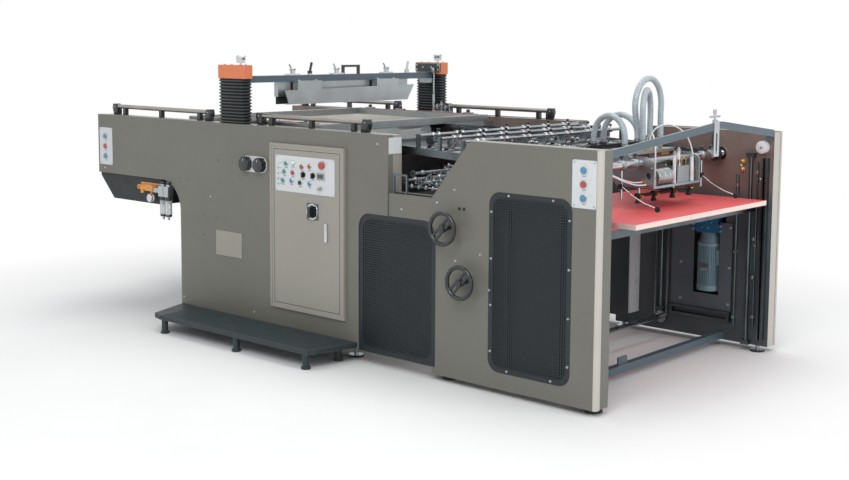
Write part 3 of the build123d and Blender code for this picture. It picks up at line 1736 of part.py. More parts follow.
# Delivery table: rails, bed, idler roller and belts in loops round both rollers
belt_axis_z = belt_z - delivery_roller
belt_under = delivery_roller + slip
with BuildPart() as delivery_table:
    for rail_y in (table_rail_near, table_rail_far):
        block(
            back(delivery_rail_ends[0]),
            back(delivery_rail_ends[1]),
            across(rail_y - table_rail_wide / 2),
            across(rail_y + table_rail_wide / 2),
            belt_axis_z - table_rail / 2,
            belt_z - 4,
        )
    rod_y(back(belt_end), belt_axis_z, belt_under + tape_sink, rail_inner_near, rail_inner_far)
    block(
        back(delivery_rail_ends[0]),
        back(belt_end) - 2 * delivery_roller,
        rail_inner_near,
        rail_inner_far,
        belt_z - 4 - bed_sheet,
        belt_z - 4,
    )
    belt_pitch = (belt_span[1] - belt_span[0]) / (belt_count - 1)
    belt_middle = back((roller_x + belt_end) / 2)
    for belt in range(belt_count):
        with BuildSketch(side_plane(across(belt_span[0] + belt * belt_pitch) + belt_wide / 2)):
            with Locations((belt_middle, belt_axis_z)):
                SlotCenterToCenter(roller_x - belt_end, 2 * (belt_under + belt_sheet))
                SlotCenterToCenter(roller_x - belt_end, 2 * belt_under, mode=Mode.SUBTRACT)
        extrude(amount=belt_wide)
    for bracket_at in (delivery_rail_ends[0] - 120, delivery_rail_ends[1] + 60):
        bracket_near = rail_inner_near - table_rail_wide
        bracket_far = rail_inner_far + table_rail_wide
        for inner, outer in ((near_in, bracket_near), (bracket_far, far_in)):
            block(
                back(bracket_at) - 14,
                back(bracket_at) + 14,
                inner,
                outer,
                belt_axis_z - 12,
                belt_axis_z + 12,
            )
    chute_rim = (
        (delivery_x + 3, overhang_z),
        (delivery_x + 3, overhang_z - 20),
        (delivery_x + chute_slope, chute_bottom),
        (back(chute_end), chute_bottom),
        (back(chute_end), overhang_z),
    )
    with BuildSketch(side_plane(side_y(1, chute_inset))):
        with BuildLine():
            Polyline(*chute_rim, close=True)
        make_face()
    extrude(amount=frame_width - 2 * chute_inset)
    with BuildSketch(side_plane(side_y(1, chute_inset + chute_sheet))):
        with BuildLine():
            Polyline(
                (delivery_x + 3 + chute_sheet, overhang_z),
                (delivery_x + 3 + chute_sheet, overhang_z - 18),
                (delivery_x + chute_slope + chute_sheet, chute_bottom + chute_sheet),
                (back(chute_end) - chute_sheet, chute_bottom + chute_sheet),
                (back(chute_end) - chute_sheet, overhang_z),
                close=True,
            )
        make_face()
    extrude(amount=frame_width - 2 * chute_inset - 2 * chute_sheet, mode=Mode.SUBTRACT)
save(delivery_table, "delivery_table")

# Driven delivery roller in the frames' bearings
with BuildPart() as delivery_roller_drum:
    rod_y(back(roller_x), belt_axis_z, delivery_roller, rail_inner_near + 10, rail_inner_far - 10)
    rod_y(back(roller_x), belt_axis_z, roller_journal, near_in - frame_plate, far_in + frame_plate)
save(delivery_roller_drum, "delivery_roller")

# Compressed air service unit in front of the chute: bracket, two heads with bowls, gauge and valve
chute_face = near_y + chute_inset
unit_y = chute_face - 26
with BuildPart() as air_service_unit:
    block(back(3500), back(3172), chute_face - bed_sheet, chute_face, 790, 836)
    for bowl_at in (3245.0, 3193.0):
        block(back(bowl_at) - 24, back(bowl_at) + 24, unit_y - 20, chute_face - bed_sheet, 765, 830)
        rod_z(back(bowl_at), unit_y + 2, 20, 640, 765)
        rod_z(back(bowl_at), unit_y + 2, 8, 620, 640)
        rod_z(back(bowl_at), unit_y + 2, 14, 830, 842)
    block(back(3340), back(3269), unit_y - 8, unit_y + 18, 784, 812)
    rod_y(back(3365), 745, 25, unit_y - 16, unit_y + 4)
    rod_z(back(3365), unit_y, 6, 768, 790)
    block(back(3420), back(3340), unit_y - 14, unit_y + 20, 788, 828)
    block(back(3496), back(3420), unit_y - 10, unit_y + 16, 794, 822)
    rod_z(back(3460), unit_y + 2, 12, 770, 794)
save(air_service_unit, "air_service_unit")

# Handrails: four tubes on brackets that stand on the side frames
with BuildPart() as handrails:
    for side in (0, 1):
        rail_y = side_y(side, rail_inset)
        for start, end in (delivery_rail, feeder_rail):
            rod_x(rail_y, rail_z, rail_tube, back(start), back(end))
            for stand in (start - 110, (start + end) / 2, end + 110):
                block(
                    back(stand) - stand_half,
                    back(stand) + stand_half,
                    rail_y - stand_half,
                    rail_y + stand_half,
                    frame_top - frame_inset,
                    rail_z,
                )
save(handrails, "handrails")
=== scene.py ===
"""Dresses the screen printing machine: finishes, soft pieces, small fittings, stage and camera."""

import bmesh
import bpy
import math
from bpy.props import FloatProperty, FloatVectorProperty, IntProperty, PointerProperty
from mathutils import Matrix, Vector


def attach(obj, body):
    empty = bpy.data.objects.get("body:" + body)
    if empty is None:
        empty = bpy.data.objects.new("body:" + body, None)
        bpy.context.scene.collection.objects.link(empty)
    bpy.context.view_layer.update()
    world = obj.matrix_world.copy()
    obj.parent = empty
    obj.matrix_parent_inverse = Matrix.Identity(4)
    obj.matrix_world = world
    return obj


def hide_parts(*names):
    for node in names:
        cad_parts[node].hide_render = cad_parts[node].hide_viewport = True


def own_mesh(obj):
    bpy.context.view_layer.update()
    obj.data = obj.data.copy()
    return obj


bl_info = {
    "name": "Screen printing machine",
    "version": (1, 0, 0),
    "blender": (4, 5, 0),
    "location": "View3D > Sidebar > Press",
    "description": "Builds the finishes and fittings of a stop-cylinder screen printing machine",
    "category": "Object",
}

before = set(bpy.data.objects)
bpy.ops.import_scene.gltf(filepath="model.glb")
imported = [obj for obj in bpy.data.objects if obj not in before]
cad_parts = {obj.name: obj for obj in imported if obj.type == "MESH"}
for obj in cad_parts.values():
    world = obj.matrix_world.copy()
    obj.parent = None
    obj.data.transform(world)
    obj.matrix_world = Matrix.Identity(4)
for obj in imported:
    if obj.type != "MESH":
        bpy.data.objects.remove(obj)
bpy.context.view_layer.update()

# Sizes of the machine in millimetres, as in the part's source
LENGTH = 3950.0
FRAME_WIDTH = 1830.0
NEAR_Y = -757.5
BOX_DEPTH = 110.0
FRAME_TOP = 1250.0
COVER_STEP = 6.0
LIFT_MIDDLE = 2599.5
LIFT_HALF = 118.5
CAP_OUT, CAP_IN = 6.0, 75.0
CAP_BOTTOM, CAP_TOP = 1515.0, 1594.0
BEAM_HALF = 30.0
BEAM_BOTTOM, BEAM_TOP = 1487.0, 1527.0
RAIL_INSET, RAIL_Z = 78.0, 1302.0
TABLE_RAILS = (178.0, 1652.0)
BAR_X, BAR_Z = 330.0, 1113.0
SLOPE_X, SLOPE_Z = 1380.0, 1166.0
TAPES = [318.0 + 199.0 * tape for tape in range(7)]
BELTS = [260.0 + 262.0 * belt for belt in range(6)]
WHEEL_BARS = (1270.0, 1120.0, 960.0)
# A wheel bar over the middle line of its rail: the tape, the wheel on it and the wheel's arm
WHEEL_BAR_RISE = 16.5 + 2 - 0.5 + 26 + 34
BOARD_TOP = 872.0
HEAD_NEAR, HEAD_FAR = 850.0, 1320.0
HEAD_FLOOR = 997.0
MANIFOLD_TOP = 1164.0
MOTOR_X, MOTOR_MIDDLE = 395.0, 1749.0
SHAFT_X = 690.0
FAR_IN = FRAME_WIDTH - BOX_DEPTH
PLATE_START, PLATE_BOTTOM, PLATE_FACE = 2184.0, 893.0, -18.0
DOOR_SEAM = (2202.0, 1668.0, 247.0, 1131.0)
AIR_UNIT = -11.0
POST_IN = FRAME_WIDTH - CAP_IN
POST_FOOT = FRAME_TOP - 2
HEAD_PLATE = 4.0
SLIDING_ROD = (LIFT_MIDDLE - 68, POST_IN - 21)
CLAMP_DISTANCES = (2150, 2420, 2760, 3050)
DELIVERY_ROLLER = (3890, 1110)
GUIDE_RODS, GUIDE_HEIGHT = (3560, 3350), 1172
SWITCH = (1882, 796)
GEARBOX_Z, GEARBOX_FACE = 713, 1681
GAUGE = (3365, 745)
GRILLES = (
    ("grille_delivery", (1540.0, 993.0, 70.0, 824.0), 80.0, True),
    ("grille_feeder", (645.0, 150.0, 116.0, 1012.0), 65.0, False),
)

# Directions: up, towards the operator, towards the far side and towards the feeder end
UP, OUT, BACK, FEEDWARD = (0, 0, 1), (0, -1, 0), (0, 1, 0), (1, 0, 0)


def place(from_end, across, height):
    """Point in metres from millimetres: distance from the feeder end, from the near face, and height."""
    return Vector(((LENGTH / 2 - from_end) / 1000, (NEAR_Y + across) / 1000, height / 1000))


def mm(value):
    """Millimetres as metres."""
    return value / 1000


def table_height(from_end):
    """Height of the middle line of the feed table's sloping rail."""
    return BAR_Z + (from_end - BAR_X) * (SLOPE_Z - BAR_Z) / (SLOPE_X - BAR_X)


# Colours and nodes


def linear(code):
    """Linear colour from an sRGB hex code."""
    parts = [int(code[start:start + 2], 16) / 255 for start in (1, 3, 5)]
    return [part / 12.92 if part <= 0.04045 else ((part + 0.055) / 1.055) ** 2.4 for part in parts]


def tone(colour, factor=1.0):
    """Linear colour with alpha from a hex code or a linear colour, made lighter or darker by a factor."""
    parts = linear(colour) if isinstance(colour, str) else list(colour)[:3]
    return (*[min(1.0, part * factor) for part in parts], 1.0)


def add_node(tree, kind, links=None, values=None, into=None, **settings):
    """Add a node with its settings, fill or link its inputs, and lead its outputs into other nodes."""
    node = tree.nodes.new(kind)
    for name, value in settings.items():
        setattr(node, name, value)
    for name, value in (values or {}).items():
        node.inputs[name].default_value = value
    for name, source in (links or {}).items():
        tree.links.new(source, node.inputs[name])
    for name, target in (into or {}).items():
        tree.links.new(node.outputs[name], target)
    return node


def new_material(name):
    """Empty material with its output and its shader."""
    material = bpy.data.materials.new(name)
    material.use_nodes = True
    tree = material.node_tree
    tree.nodes.clear()
    shader = add_node(tree, "ShaderNodeBsdfPrincipled")
    add_node(tree, "ShaderNodeOutputMaterial", links={"Surface": shader.outputs["BSDF"]})
    return material, tree, shader


def unevenness(tree, size_mm, low=0.0, high=1.0, detail=3.0, stretch=(1, 1, 1)):
    """Uneven pattern whose lumps are about size_mm across on the object, between two values."""
    where = add_node(tree, "ShaderNodeTexCoord")
    scaled = add_node(
        tree,
        "ShaderNodeMapping",
        links={"Vector": where.outputs["Object"]},
        values={"Scale": [1000 / size_mm * way for way in stretch]},
    )
    noise = add_node(
        tree,
        "ShaderNodeTexNoise",
        links={"Vector": scaled.outputs["Vector"]},
        values={"Scale": 1.0, "Detail": detail, "Roughness": 0.55},
    )
    span = add_node(
        tree,
        "ShaderNodeMapRange",
        links={"Value": noise.outputs["Fac"]},
        values={"From Min": 0.3, "From Max": 0.7, "To Min": low, "To Max": high},
    )
    return span.outputs["Result"]


def patches(tree, size_mm, light, dark, detail=3.0):
    """Colour that goes unevenly from light to dark, in patches about size_mm across."""
    mix = add_node(
        tree,
        "ShaderNodeMix",
        data_type="RGBA",
        links={0: unevenness(tree, size_mm, detail=detail)},
        values={6: light, 7: dark},
    )
    return mix.outputs[2]


def relief(tree, shader, height, strength, depth_mm):
    """Fine relief on the surface of a material."""
    add_node(
        tree,
        "ShaderNodeBump",
        links={"Height": height},
        values={"Strength": strength, "Distance": mm(depth_mm)},
        into={"Normal": shader.inputs["Normal"]},
    )


def worn_and_highlit_edges(tree, paint, edge):
    """Paint with a lighter edge colour where a rounded edge would turn away from the flat faces beside it:
    partly worn thin paint, partly a painted highlight along the edge.
    """
    soft = add_node(tree, "ShaderNodeBevel", values={"Radius": mm(3.0)}, samples=4)
    geometry = add_node(tree, "ShaderNodeNewGeometry")
    links = {0: soft.outputs["Normal"], 1: geometry.outputs["Normal"]}
    facing = add_node(tree, "ShaderNodeVectorMath", operation="DOT_PRODUCT", links=links)
    links = {"Value": facing.outputs["Value"]}
    worn_and_highlit = add_node(tree, "ShaderNodeMapRange", links=links, values={"From Min": 0.99, "From Max": 0.85})
    links = {0: worn_and_highlit.outputs["Result"], 6: paint}
    return add_node(tree, "ShaderNodeMix", data_type="RGBA", links=links, values={7: tone(edge)}).outputs[2]


def painted_steel(name, colour, roughness=0.42, peel_mm=5.0, edge=None, depth_mm=0.06, shade=0.86):
    """Stoved paint on sheet steel or iron: a low orange peel, faint unevenness, and where an edge colour is
    given, thin worn paint and a painted highlight along the edges.
    """
    material, tree, shader = new_material(name)
    paint = patches(tree, 420.0, tone(colour), tone(colour, shade), 4.0)
    # The edge colour is painted along rounded edges: worn paint, and a painted highlight where the edges
    # catch the light
    if edge:
        paint = worn_and_highlit_edges(tree, paint, edge)
    tree.links.new(paint, shader.inputs["Base Color"])
    tree.links.new(unevenness(tree, 60.0, roughness - 0.05, roughness + 0.07), shader.inputs["Roughness"])
    relief(tree, shader, unevenness(tree, peel_mm, detail=1.5), 0.25, depth_mm)
    return material


def bare_metal(name, colour, roughness, stretch=(1, 1, 1), line_mm=1.6, shade=0.72):
    """Machined or plated metal: fine lines along the cut, duller and darker in patches."""
    material, tree, shader = new_material(name)
    shader.inputs["Metallic"].default_value = 1.0
    metal = patches(tree, 140.0, tone(colour), tone(colour, shade))
    tree.links.new(metal, shader.inputs["Base Color"])
    lines = unevenness(tree, line_mm, roughness - 0.06, roughness + 0.08, 2.0, stretch)
    tree.links.new(lines, shader.inputs["Roughness"])
    relief(tree, shader, lines, 0.3, 0.02)
    return material


def moulded_plastic(name, colour, roughness=0.3, coat=0.0, spark_mm=0.9, clear=0.0):
    """Moulded plastic: spark-eroded mould texture, slight colour change, soft shine."""
    material, tree, shader = new_material(name)
    plastic = patches(tree, 40.0, tone(colour), tone(colour, 0.85))
    tree.links.new(plastic, shader.inputs["Base Color"])
    shader.inputs["IOR"].default_value = 1.52
    shader.inputs["Coat Weight"].default_value = coat
    shader.inputs["Transmission Weight"].default_value = clear
    tree.links.new(unevenness(tree, 12.0, roughness - 0.05, roughness + 0.08), shader.inputs["Roughness"])
    relief(tree, shader, unevenness(tree, spark_mm, detail=2.0), 0.2, 0.03)
    return material


def woven(name, colour, thread_mm, roughness=0.7, alpha=1.0):
    """Plain weave: threads over and under each other in both directions, darker where the weave lies low as
    painted shade between the threads.
    """
    material, tree, shader = new_material(name)
    where = add_node(tree, "ShaderNodeTexCoord")
    scaled = add_node(
        tree,
        "ShaderNodeMapping",
        links={"Vector": where.outputs["Object"]},
        values={"Scale": [1000 / thread_mm] * 3},
    )
    threads = {}
    for slot, way in enumerate(("X", "Y")):
        wave = add_node(
            tree,
            "ShaderNodeTexWave",
            links={"Vector": scaled.outputs["Vector"]},
            values={"Scale": 0.31, "Distortion": 0.4},
            bands_direction=way,
        )
        threads[slot] = wave.outputs["Fac"]
    height = add_node(tree, "ShaderNodeMath", operation="MAXIMUM", links=threads)
    # Where the threads lie low the colour is darker: painted shade between the threads
    add_node(
        tree,
        "ShaderNodeMix",
        data_type="RGBA",
        links={0: height.outputs[0]},
        values={6: tone(colour, 0.7), 7: tone(colour)},
        into={2: shader.inputs["Base Color"]},
    )
    shader.inputs["Roughness"].default_value = roughness
    shader.inputs["Alpha"].default_value = alpha
    relief(tree, shader, height.outputs[0], 0.5, 0.15)
    return material


def far_wall_iron_and_reflections():
    """Painted iron of the far wall: blue-grey below, a warmer brown-grey above the pile board; the brown-grey
    and the strong light and dark patches are partly the wall's paint and partly painted reflection.
    """
    material, tree, shader = new_material("painted_cast_iron_dark")
    where = add_node(tree, "ShaderNodeTexCoord")
    split = add_node(tree, "ShaderNodeSeparateXYZ", links={"Vector": where.outputs["Object"]})
    share = add_node(
        tree,
        "ShaderNodeMapRange",
        links={"Value": split.outputs["Z"]},
        values={"From Min": mm(840), "From Max": mm(960)},
    )
    paints = {}
    # Each colour goes to a much darker shade in patches; these patches and the brown-grey above the board are
    # partly painted reflection
    for slot, size, colour in ((6, 300.0, "#555C60"), (7, 200.0, "#86766F")):
        paints[slot] = patches(tree, size, tone(colour), tone(colour, 0.65))
    add_node(
        tree,
        "ShaderNodeMix",
        data_type="RGBA",
        links={0: share.outputs["Result"], **paints},
        into={2: shader.inputs["Base Color"]},
    )
    shader.inputs["Roughness"].default_value = 0.32
    relief(tree, shader, unevenness(tree, 3.5, detail=1.5), 0.25, 0.15)
    return material


# Mesh making: every piece is drawn into one bmesh, with a finish for each face


def ring(middle, first, second, radius, sides):
    """Points round a middle, from two directions across it and a radius in millimetres."""
    turns = [2 * math.pi * index / sides for index in range(sides)]
    return [middle + (first * math.cos(turn) + second * math.sin(turn)) * mm(radius) for turn in turns]


def circle(middle, axis, radius, sides=16):
    """Points of a circle round an axis, its radius in millimetres."""
    axis = Vector(axis).normalized()
    first = axis.orthogonal().normalized()
    return ring(middle, first, axis.cross(first), max(radius, 0.01), sides)


def across_line(line):
    """Each point of a line with two directions across the line, which twist as little as they can."""
    before = None
    for index, point in enumerate(line):
        ahead = (line[min(index + 1, len(line) - 1)] - line[max(index - 1, 0)]).normalized()
        first = ahead.orthogonal() if before is None else before - ahead * before.dot(ahead)
        first.normalize()
        before = first
        yield point, first, ahead.cross(first)


def rounded(left, right, low, high, radius, foot=None, parts=8):
    """Corners of a rounded rectangle in one plane, as pairs; foot is the radius of the two lower corners."""
    points = []
    for quarter, (x, z) in enumerate(((right, high), (left, high), (left, low), (right, low))):
        reach = foot if foot is not None and quarter > 1 else radius
        middle = (x + (reach if x == left else -reach), z + (reach if z == low else -reach))
        for step in range(parts + 1):
            turn = math.pi / 2 * (quarter + step / parts)
            points.append((middle[0] + reach * math.cos(turn), middle[1] + reach * math.sin(turn)))
    return points


class Maker:
    """Collects the faces of one piece and the finishes they use."""

    def __init__(self, name):
        self.name = name
        self.mesh = bmesh.new()
        self.finishes = []

    def finish(self, name):
        """Number of a finish in this piece."""
        if name not in self.finishes:
            self.finishes.append(name)
        return self.finishes.index(name)

    def rings(self, rows, finish, closed=True, caps=True, loop=False):
        """Skin between rows of points; the first and last rows are capped."""
        number = self.finish(finish)
        drawn = [[self.mesh.verts.new(point) for point in row] for row in rows]
        pairs = list(zip(drawn, drawn[1:]))
        if loop:
            pairs.append((drawn[-1], drawn[0]))
        count = len(drawn[0])
        for first, second in pairs:
            for index in range(count if closed else count - 1):
                after = (index + 1) % count
                face = self.mesh.faces.new((first[index], first[after], second[after], second[index]))
                face.material_index = number
        if caps and closed and not loop:
            for row in (list(reversed(drawn[0])), drawn[-1]):
                self.mesh.faces.new(row).material_index = number

    def turned(self, start, axis, profile, finish, sides=20):
        """Turned form: profile holds (distance along the axis, radius) in millimetres."""
        axis = Vector(axis).normalized()
        self.rings(
            [circle(start + axis * mm(along), axis, radius, sides) for along, radius in profile], finish
        )

    def collar(self, start, axis, depth, outer, inner, finish, sides=24):
        """Open ring with an eased outer edge."""
        axis = Vector(axis).normalized()
        ease = min(depth * 0.2, (outer - inner) / 2)
        profile = ((0, inner), (0, outer), (depth - ease, outer), (depth, outer - ease), (depth, inner))
        rows = [circle(start + axis * mm(along), axis, radius, sides) for along, radius in profile]
        self.rings(rows, finish, loop=True)

    def slab(self, outline, lift, finish, bevel_mm=0.0):
        """Flat outline of points pushed out along a vector, its edges eased."""
        number = self.finish(finish)
        low = [self.mesh.verts.new(point) for point in outline]
        high = [self.mesh.verts.new(point + lift) for point in outline]
        count = len(low)
        faces = [self.mesh.faces.new(list(reversed(low))), self.mesh.faces.new(high)]
        for index in range(count):
            after = (index + 1) % count
            faces.append(self.mesh.faces.new((low[index], low[after], high[after], high[index])))
        for face in faces:
            face.material_index = number
        if bevel_mm:
            edges = list({edge for face in faces for edge in face.edges})
            bmesh.ops.bevel(
                self.mesh, geom=edges, offset=mm(bevel_mm), segments=2, affect="EDGES", profile=0.6
            )

    def block(self, low, high, finish, bevel_mm=1.0):
        """Block between two corners with eased edges."""
        low, high = Vector(map(min, low, high)), Vector(map(max, low, high))
        corners = ((low.x, low.y), (high.x, low.y), (high.x, high.y), (low.x, high.y))
        self.slab(
            [Vector((x, y, low.z)) for x, y in corners], Vector((0, 0, high.z - low.z)), finish, bevel_mm
        )

    def tube(self, points, radius, finish, sides=12):
        """Tube of a radius in millimetres along points."""
        self.rings([ring(*place_on_line, radius, sides) for place_on_line in across_line(points)], finish)

    def rod(self, start, end, radius, finish, sides=12):
        """Straight round rod with eased ends."""
        reach = (end - start).length * 1000
        ease = min(1.0, radius / 3)
        profile = ((0, radius - ease), (ease, radius), (reach - ease, radius), (reach, radius - ease))
        self.turned(start, end - start, profile, finish, sides)

    def bolt(self, middle, axis, size, finish):
        """Hexagon head on its washer, its size across the corners in millimetres."""
        axis = Vector(axis).normalized()
        self.turned(middle, axis, ((0, size * 0.62), (size * 0.1, size * 0.62)), finish, 16)
        self.turned(
            middle,
            axis,
            ((size * 0.1, size * 0.5), (size * 0.38, size * 0.5), (size * 0.44, size * 0.4)),
            finish,
            6,
        )

    def made(self, body, crease=40.0):
        """Finished object, riding on a body and taking its finish from a slot."""
        bmesh.ops.recalc_face_normals(self.mesh, faces=self.mesh.faces)
        data = bpy.data.meshes.new(self.name)
        self.mesh.to_mesh(data)
        self.mesh.free()
        for name in self.finishes:
            data.materials.append(FINISH[name])
        piece = bpy.data.objects.new(self.name, data)
        bpy.context.scene.collection.objects.link(piece)
        data.polygons.foreach_set("use_smooth", [True] * len(data.polygons))
        data.set_sharp_from_angle(angle=math.radians(crease))
        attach(piece, body)
        return piece


# Finishes

FINISH = {}

# Metals: material, colour, roughness, stretch and width of the polish lines, shade of the dull patches
METALS = {
    # Ground and machined steel: fine lines along the grinding, dull patches of oil
    "steel": ("ground_steel", "#AEB4B8", 0.26, (1, 0.05, 1)),
    "dark_steel": ("oiled_machined_steel", "#6F777B", 0.36, (1, 1, 0.08), 1.6, 0.6),
    # Bright chrome plate: mirror-like with a faint polish line
    "chrome": ("polished_chrome_plate", "#CDD1D4", 0.12, (1, 0.2, 1), 2.5, 0.8),
    "brushed": ("brushed_stainless_tube", "#A9A59D", 0.3, (0.04, 1, 1), 1.2, 0.8),
    # Milled aluminium: pale and satin
    "aluminium": ("milled_aluminium", "#AFB4B7", 0.36, (0.06, 1, 1), 1.6, 0.82),
    # Turned brass: warm, with lines round the turning
    "brass": ("turned_brass", "#D0AC60", 0.26, (1, 1, 0.1), 1.6, 0.8),
    # Zinc plate: slightly blue, cloudy
    "zinc": ("zinc_plated_steel", "#B9BEC0", 0.32, (1, 1, 1), 3.0, 0.8),
}

# Plastics and rubber, each with the fine grain of its mould: material, colour, roughness, clear coat,
# size of the grain and share of light let through
PLASTICS = {
    "black_plastic": ("moulded_phenolic_black", "#1E2226", 0.24, 0.3),
    "grey_plastic": ("moulded_ABS_grey", "#9BA1A4", 0.4),
    "red_plastic": ("moulded_polycarbonate_red", "#B8453E", 0.22, 0.4),
    "green_plastic": ("moulded_polycarbonate_teal", "#359A90", 0.22, 0.4),
    "blue_plastic": ("moulded_polycarbonate_blue", "#4A93B4", 0.22, 0.4),
    "orange_plastic": ("moulded_nylon_orange", "#EDA04A", 0.35),
    "white_plastic": ("moulded_polyacetal_white", "#ECEFF0", 0.3),
    "teal_plastic": ("moulded_nylon_teal", "#3C7F8E", 0.35),
    "display": ("tinted_acrylic_window", "#2A3A38", 0.1, 0.6),
    # Vulcanised rubber: dull black that turns grey where it is rubbed
    "rubber": ("moulded_rubber_black", "#202629", 0.6),
    "bellows": ("coated_fabric_bellows_black", "#1C2327", 0.34, 0.2, 0.7),
    # Clear bowls: thin polycarbonate, nearly clear
    "bowl": ("moulded_polycarbonate_clear", "#E6EBEC", 0.08, 0.5, 0.9, 0.6),
    # The whiter coil moulded into the wall of a hose, and the thin air tubes
    "hose_coil": ("extruded_PVC_hose_coil", "#EDF3F5", 0.35, 0.2),
    "tube": ("extruded_polyurethane_tube", "#E9EDEF", 0.28, 0.2),
}


def make_finishes(colours):
    """Make every finish once."""
    # Stoved grey-beige paint on folded sheet steel: broad soft reflections with a fine orange peel
    FINISH["cover"] = painted_steel("stoved_paint_on_sheet_steel_grey", colours.cover, 0.4, shade=0.93)
    # The same paint in a lighter colour on the door, and a pale colour on the folded post beside it, painted
    # as the highlight where its rounded corner catches the light
    FINISH["door"] = painted_steel("stoved_paint_on_sheet_steel_light", colours.door, 0.42, shade=0.94)
    FINISH["post"] = painted_steel("stoved_paint_with_painted_highlight_pale", "#C8C4BC", 0.42, shade=0.94)
    # Paint on sand-cast iron: a rougher skin that breaks up the reflections
    FINISH["iron"] = painted_steel("painted_cast_iron_grey", "#3C4144", 0.5, 3.5, depth_mm=0.2)
    FINISH["far_iron"] = far_wall_iron_and_reflections()
    # Powder coat on steel: matt and dark, with a lighter colour on the edges that is partly worn paint and
    # partly a painted highlight
    FINISH["step"] = painted_steel("powder_coated_steel_slate", "#2B3639", 0.5, 1.2, "#5C686A", 0.1)
    FINISH["black_steel"] = painted_steel("powder_coated_steel_black", "#1A2124", 0.5, 1.2, depth_mm=0.1)
    FINISH["grille"] = painted_steel(
        "powder_coated_perforated_steel", colours.grille, 0.42, 1.2, depth_mm=0.05
    )
    # Slate paint on the motor's mounting plate: smooth and half matt
    FINISH["slate"] = painted_steel("stoved_paint_on_steel_slate", "#626B72", 0.4, shade=0.8)
    # Gloss paint on rolled steel, with a lighter colour painted along the edges as their highlight
    FINISH["blue_grey"] = painted_steel("stoved_paint_on_steel_blue_grey", colours.beam, 0.33, 6.0, "#8FA0AA")
    FINISH["orange"] = painted_steel("stoved_paint_on_steel_orange", colours.cap, 0.38, shade=0.92)
    FINISH["red_board"] = painted_steel(
        "satin_enamel_on_steel_red", colours.board, 0.46, 24.0, depth_mm=0.02, shade=0.94
    )
    # Near-white pink on the sides of the pile board: a painted highlight where its edges catch the light
    FINISH["lit_board_edge"] = painted_steel("painted_highlight_on_board_edge_pink", "#FDE3DA", 0.3, 6.0, shade=0.95)
    FINISH["motor"] = painted_steel("painted_cast_aluminium_motor", colours.motor, 0.36, 2.5, depth_mm=0.12)
    FINISH["gearbox"] = painted_steel("painted_cast_iron_blue", colours.gearbox, 0.36, 2.5, depth_mm=0.12)
    FINISH["white_plate"] = painted_steel("enamelled_steel_white", "#D9DDDF", 0.3, shade=0.95)
    for name, looks in METALS.items():
        FINISH[name] = bare_metal(*looks)
    for name, looks in PLASTICS.items():
        FINISH[name] = moulded_plastic(*looks)
    # Milky PVC wall of the hoses
    FINISH["hose"] = moulded_plastic("extruded_PVC_hose_wall", colours.hose, 0.3, 0.3, 2.0, 0.3)
    # Polyester of 0.1 mm threads, drawn at 2 mm so that the weave shows; belt webbing at its own 2.5 mm
    FINISH["screen_cloth"] = woven("woven_polyester_screen_cloth", "#DCD6C6", 2.0, 0.5, 0.6)
    FINISH["belt"] = woven("woven_polyester_belt", "#4C5254", 2.5, 0.75)


# Finish of each CAD part
FINISH_OF = {
    "cover": "near_covers far_covers",
    "iron": "near_side_frame",
    "far_iron": "far_side_frame",
    "zinc": "cover_screws air_service_unit",
    "blue_grey": "cross_members squeegee_beam feeder_top_bar",
    "steel": "levelling_feet feed_table pile_shaft delivery_roller",
    "door": "control_cabinet cabinet_door",
    "white_plate": "control_plate side_plates",
    "step": "step_platform",
    "dark_steel": "machine_guides pile_lift_frame",
    "orange": "lift_heads",
    "black_plastic": (
        "clamp_lever_near handwheel_upper handwheel_lower air_knob_left air_knob_right selector_left "
        "selector_right main_switch stop_button_3"
    ),
    "chrome": "clamp_lever_far impression_cylinder pile_stop key_switch door_handle",
    "aluminium": "squeegee flood_bar screen_frame feeder_head",
    "black_steel": "sucker_bar delivery_table",
    "red_board": "pile_board",
    "motor": "gear_motor",
    "brushed": "handrails",
    "red_plastic": "emergency_stop stop_button_1 stop_button_2 feeder_stop_button delivery_stop_button",
    "green_plastic": "start_button_1 start_button_2 start_button_3",
    "blue_plastic": "feeder_run_button feeder_inch_button delivery_run_button delivery_inch_button",
}


def on_belt(across):
    """Whether a distance from the near face lies on one of the delivery belts."""
    return min(abs(across - belt) for belt in BELTS) < 36


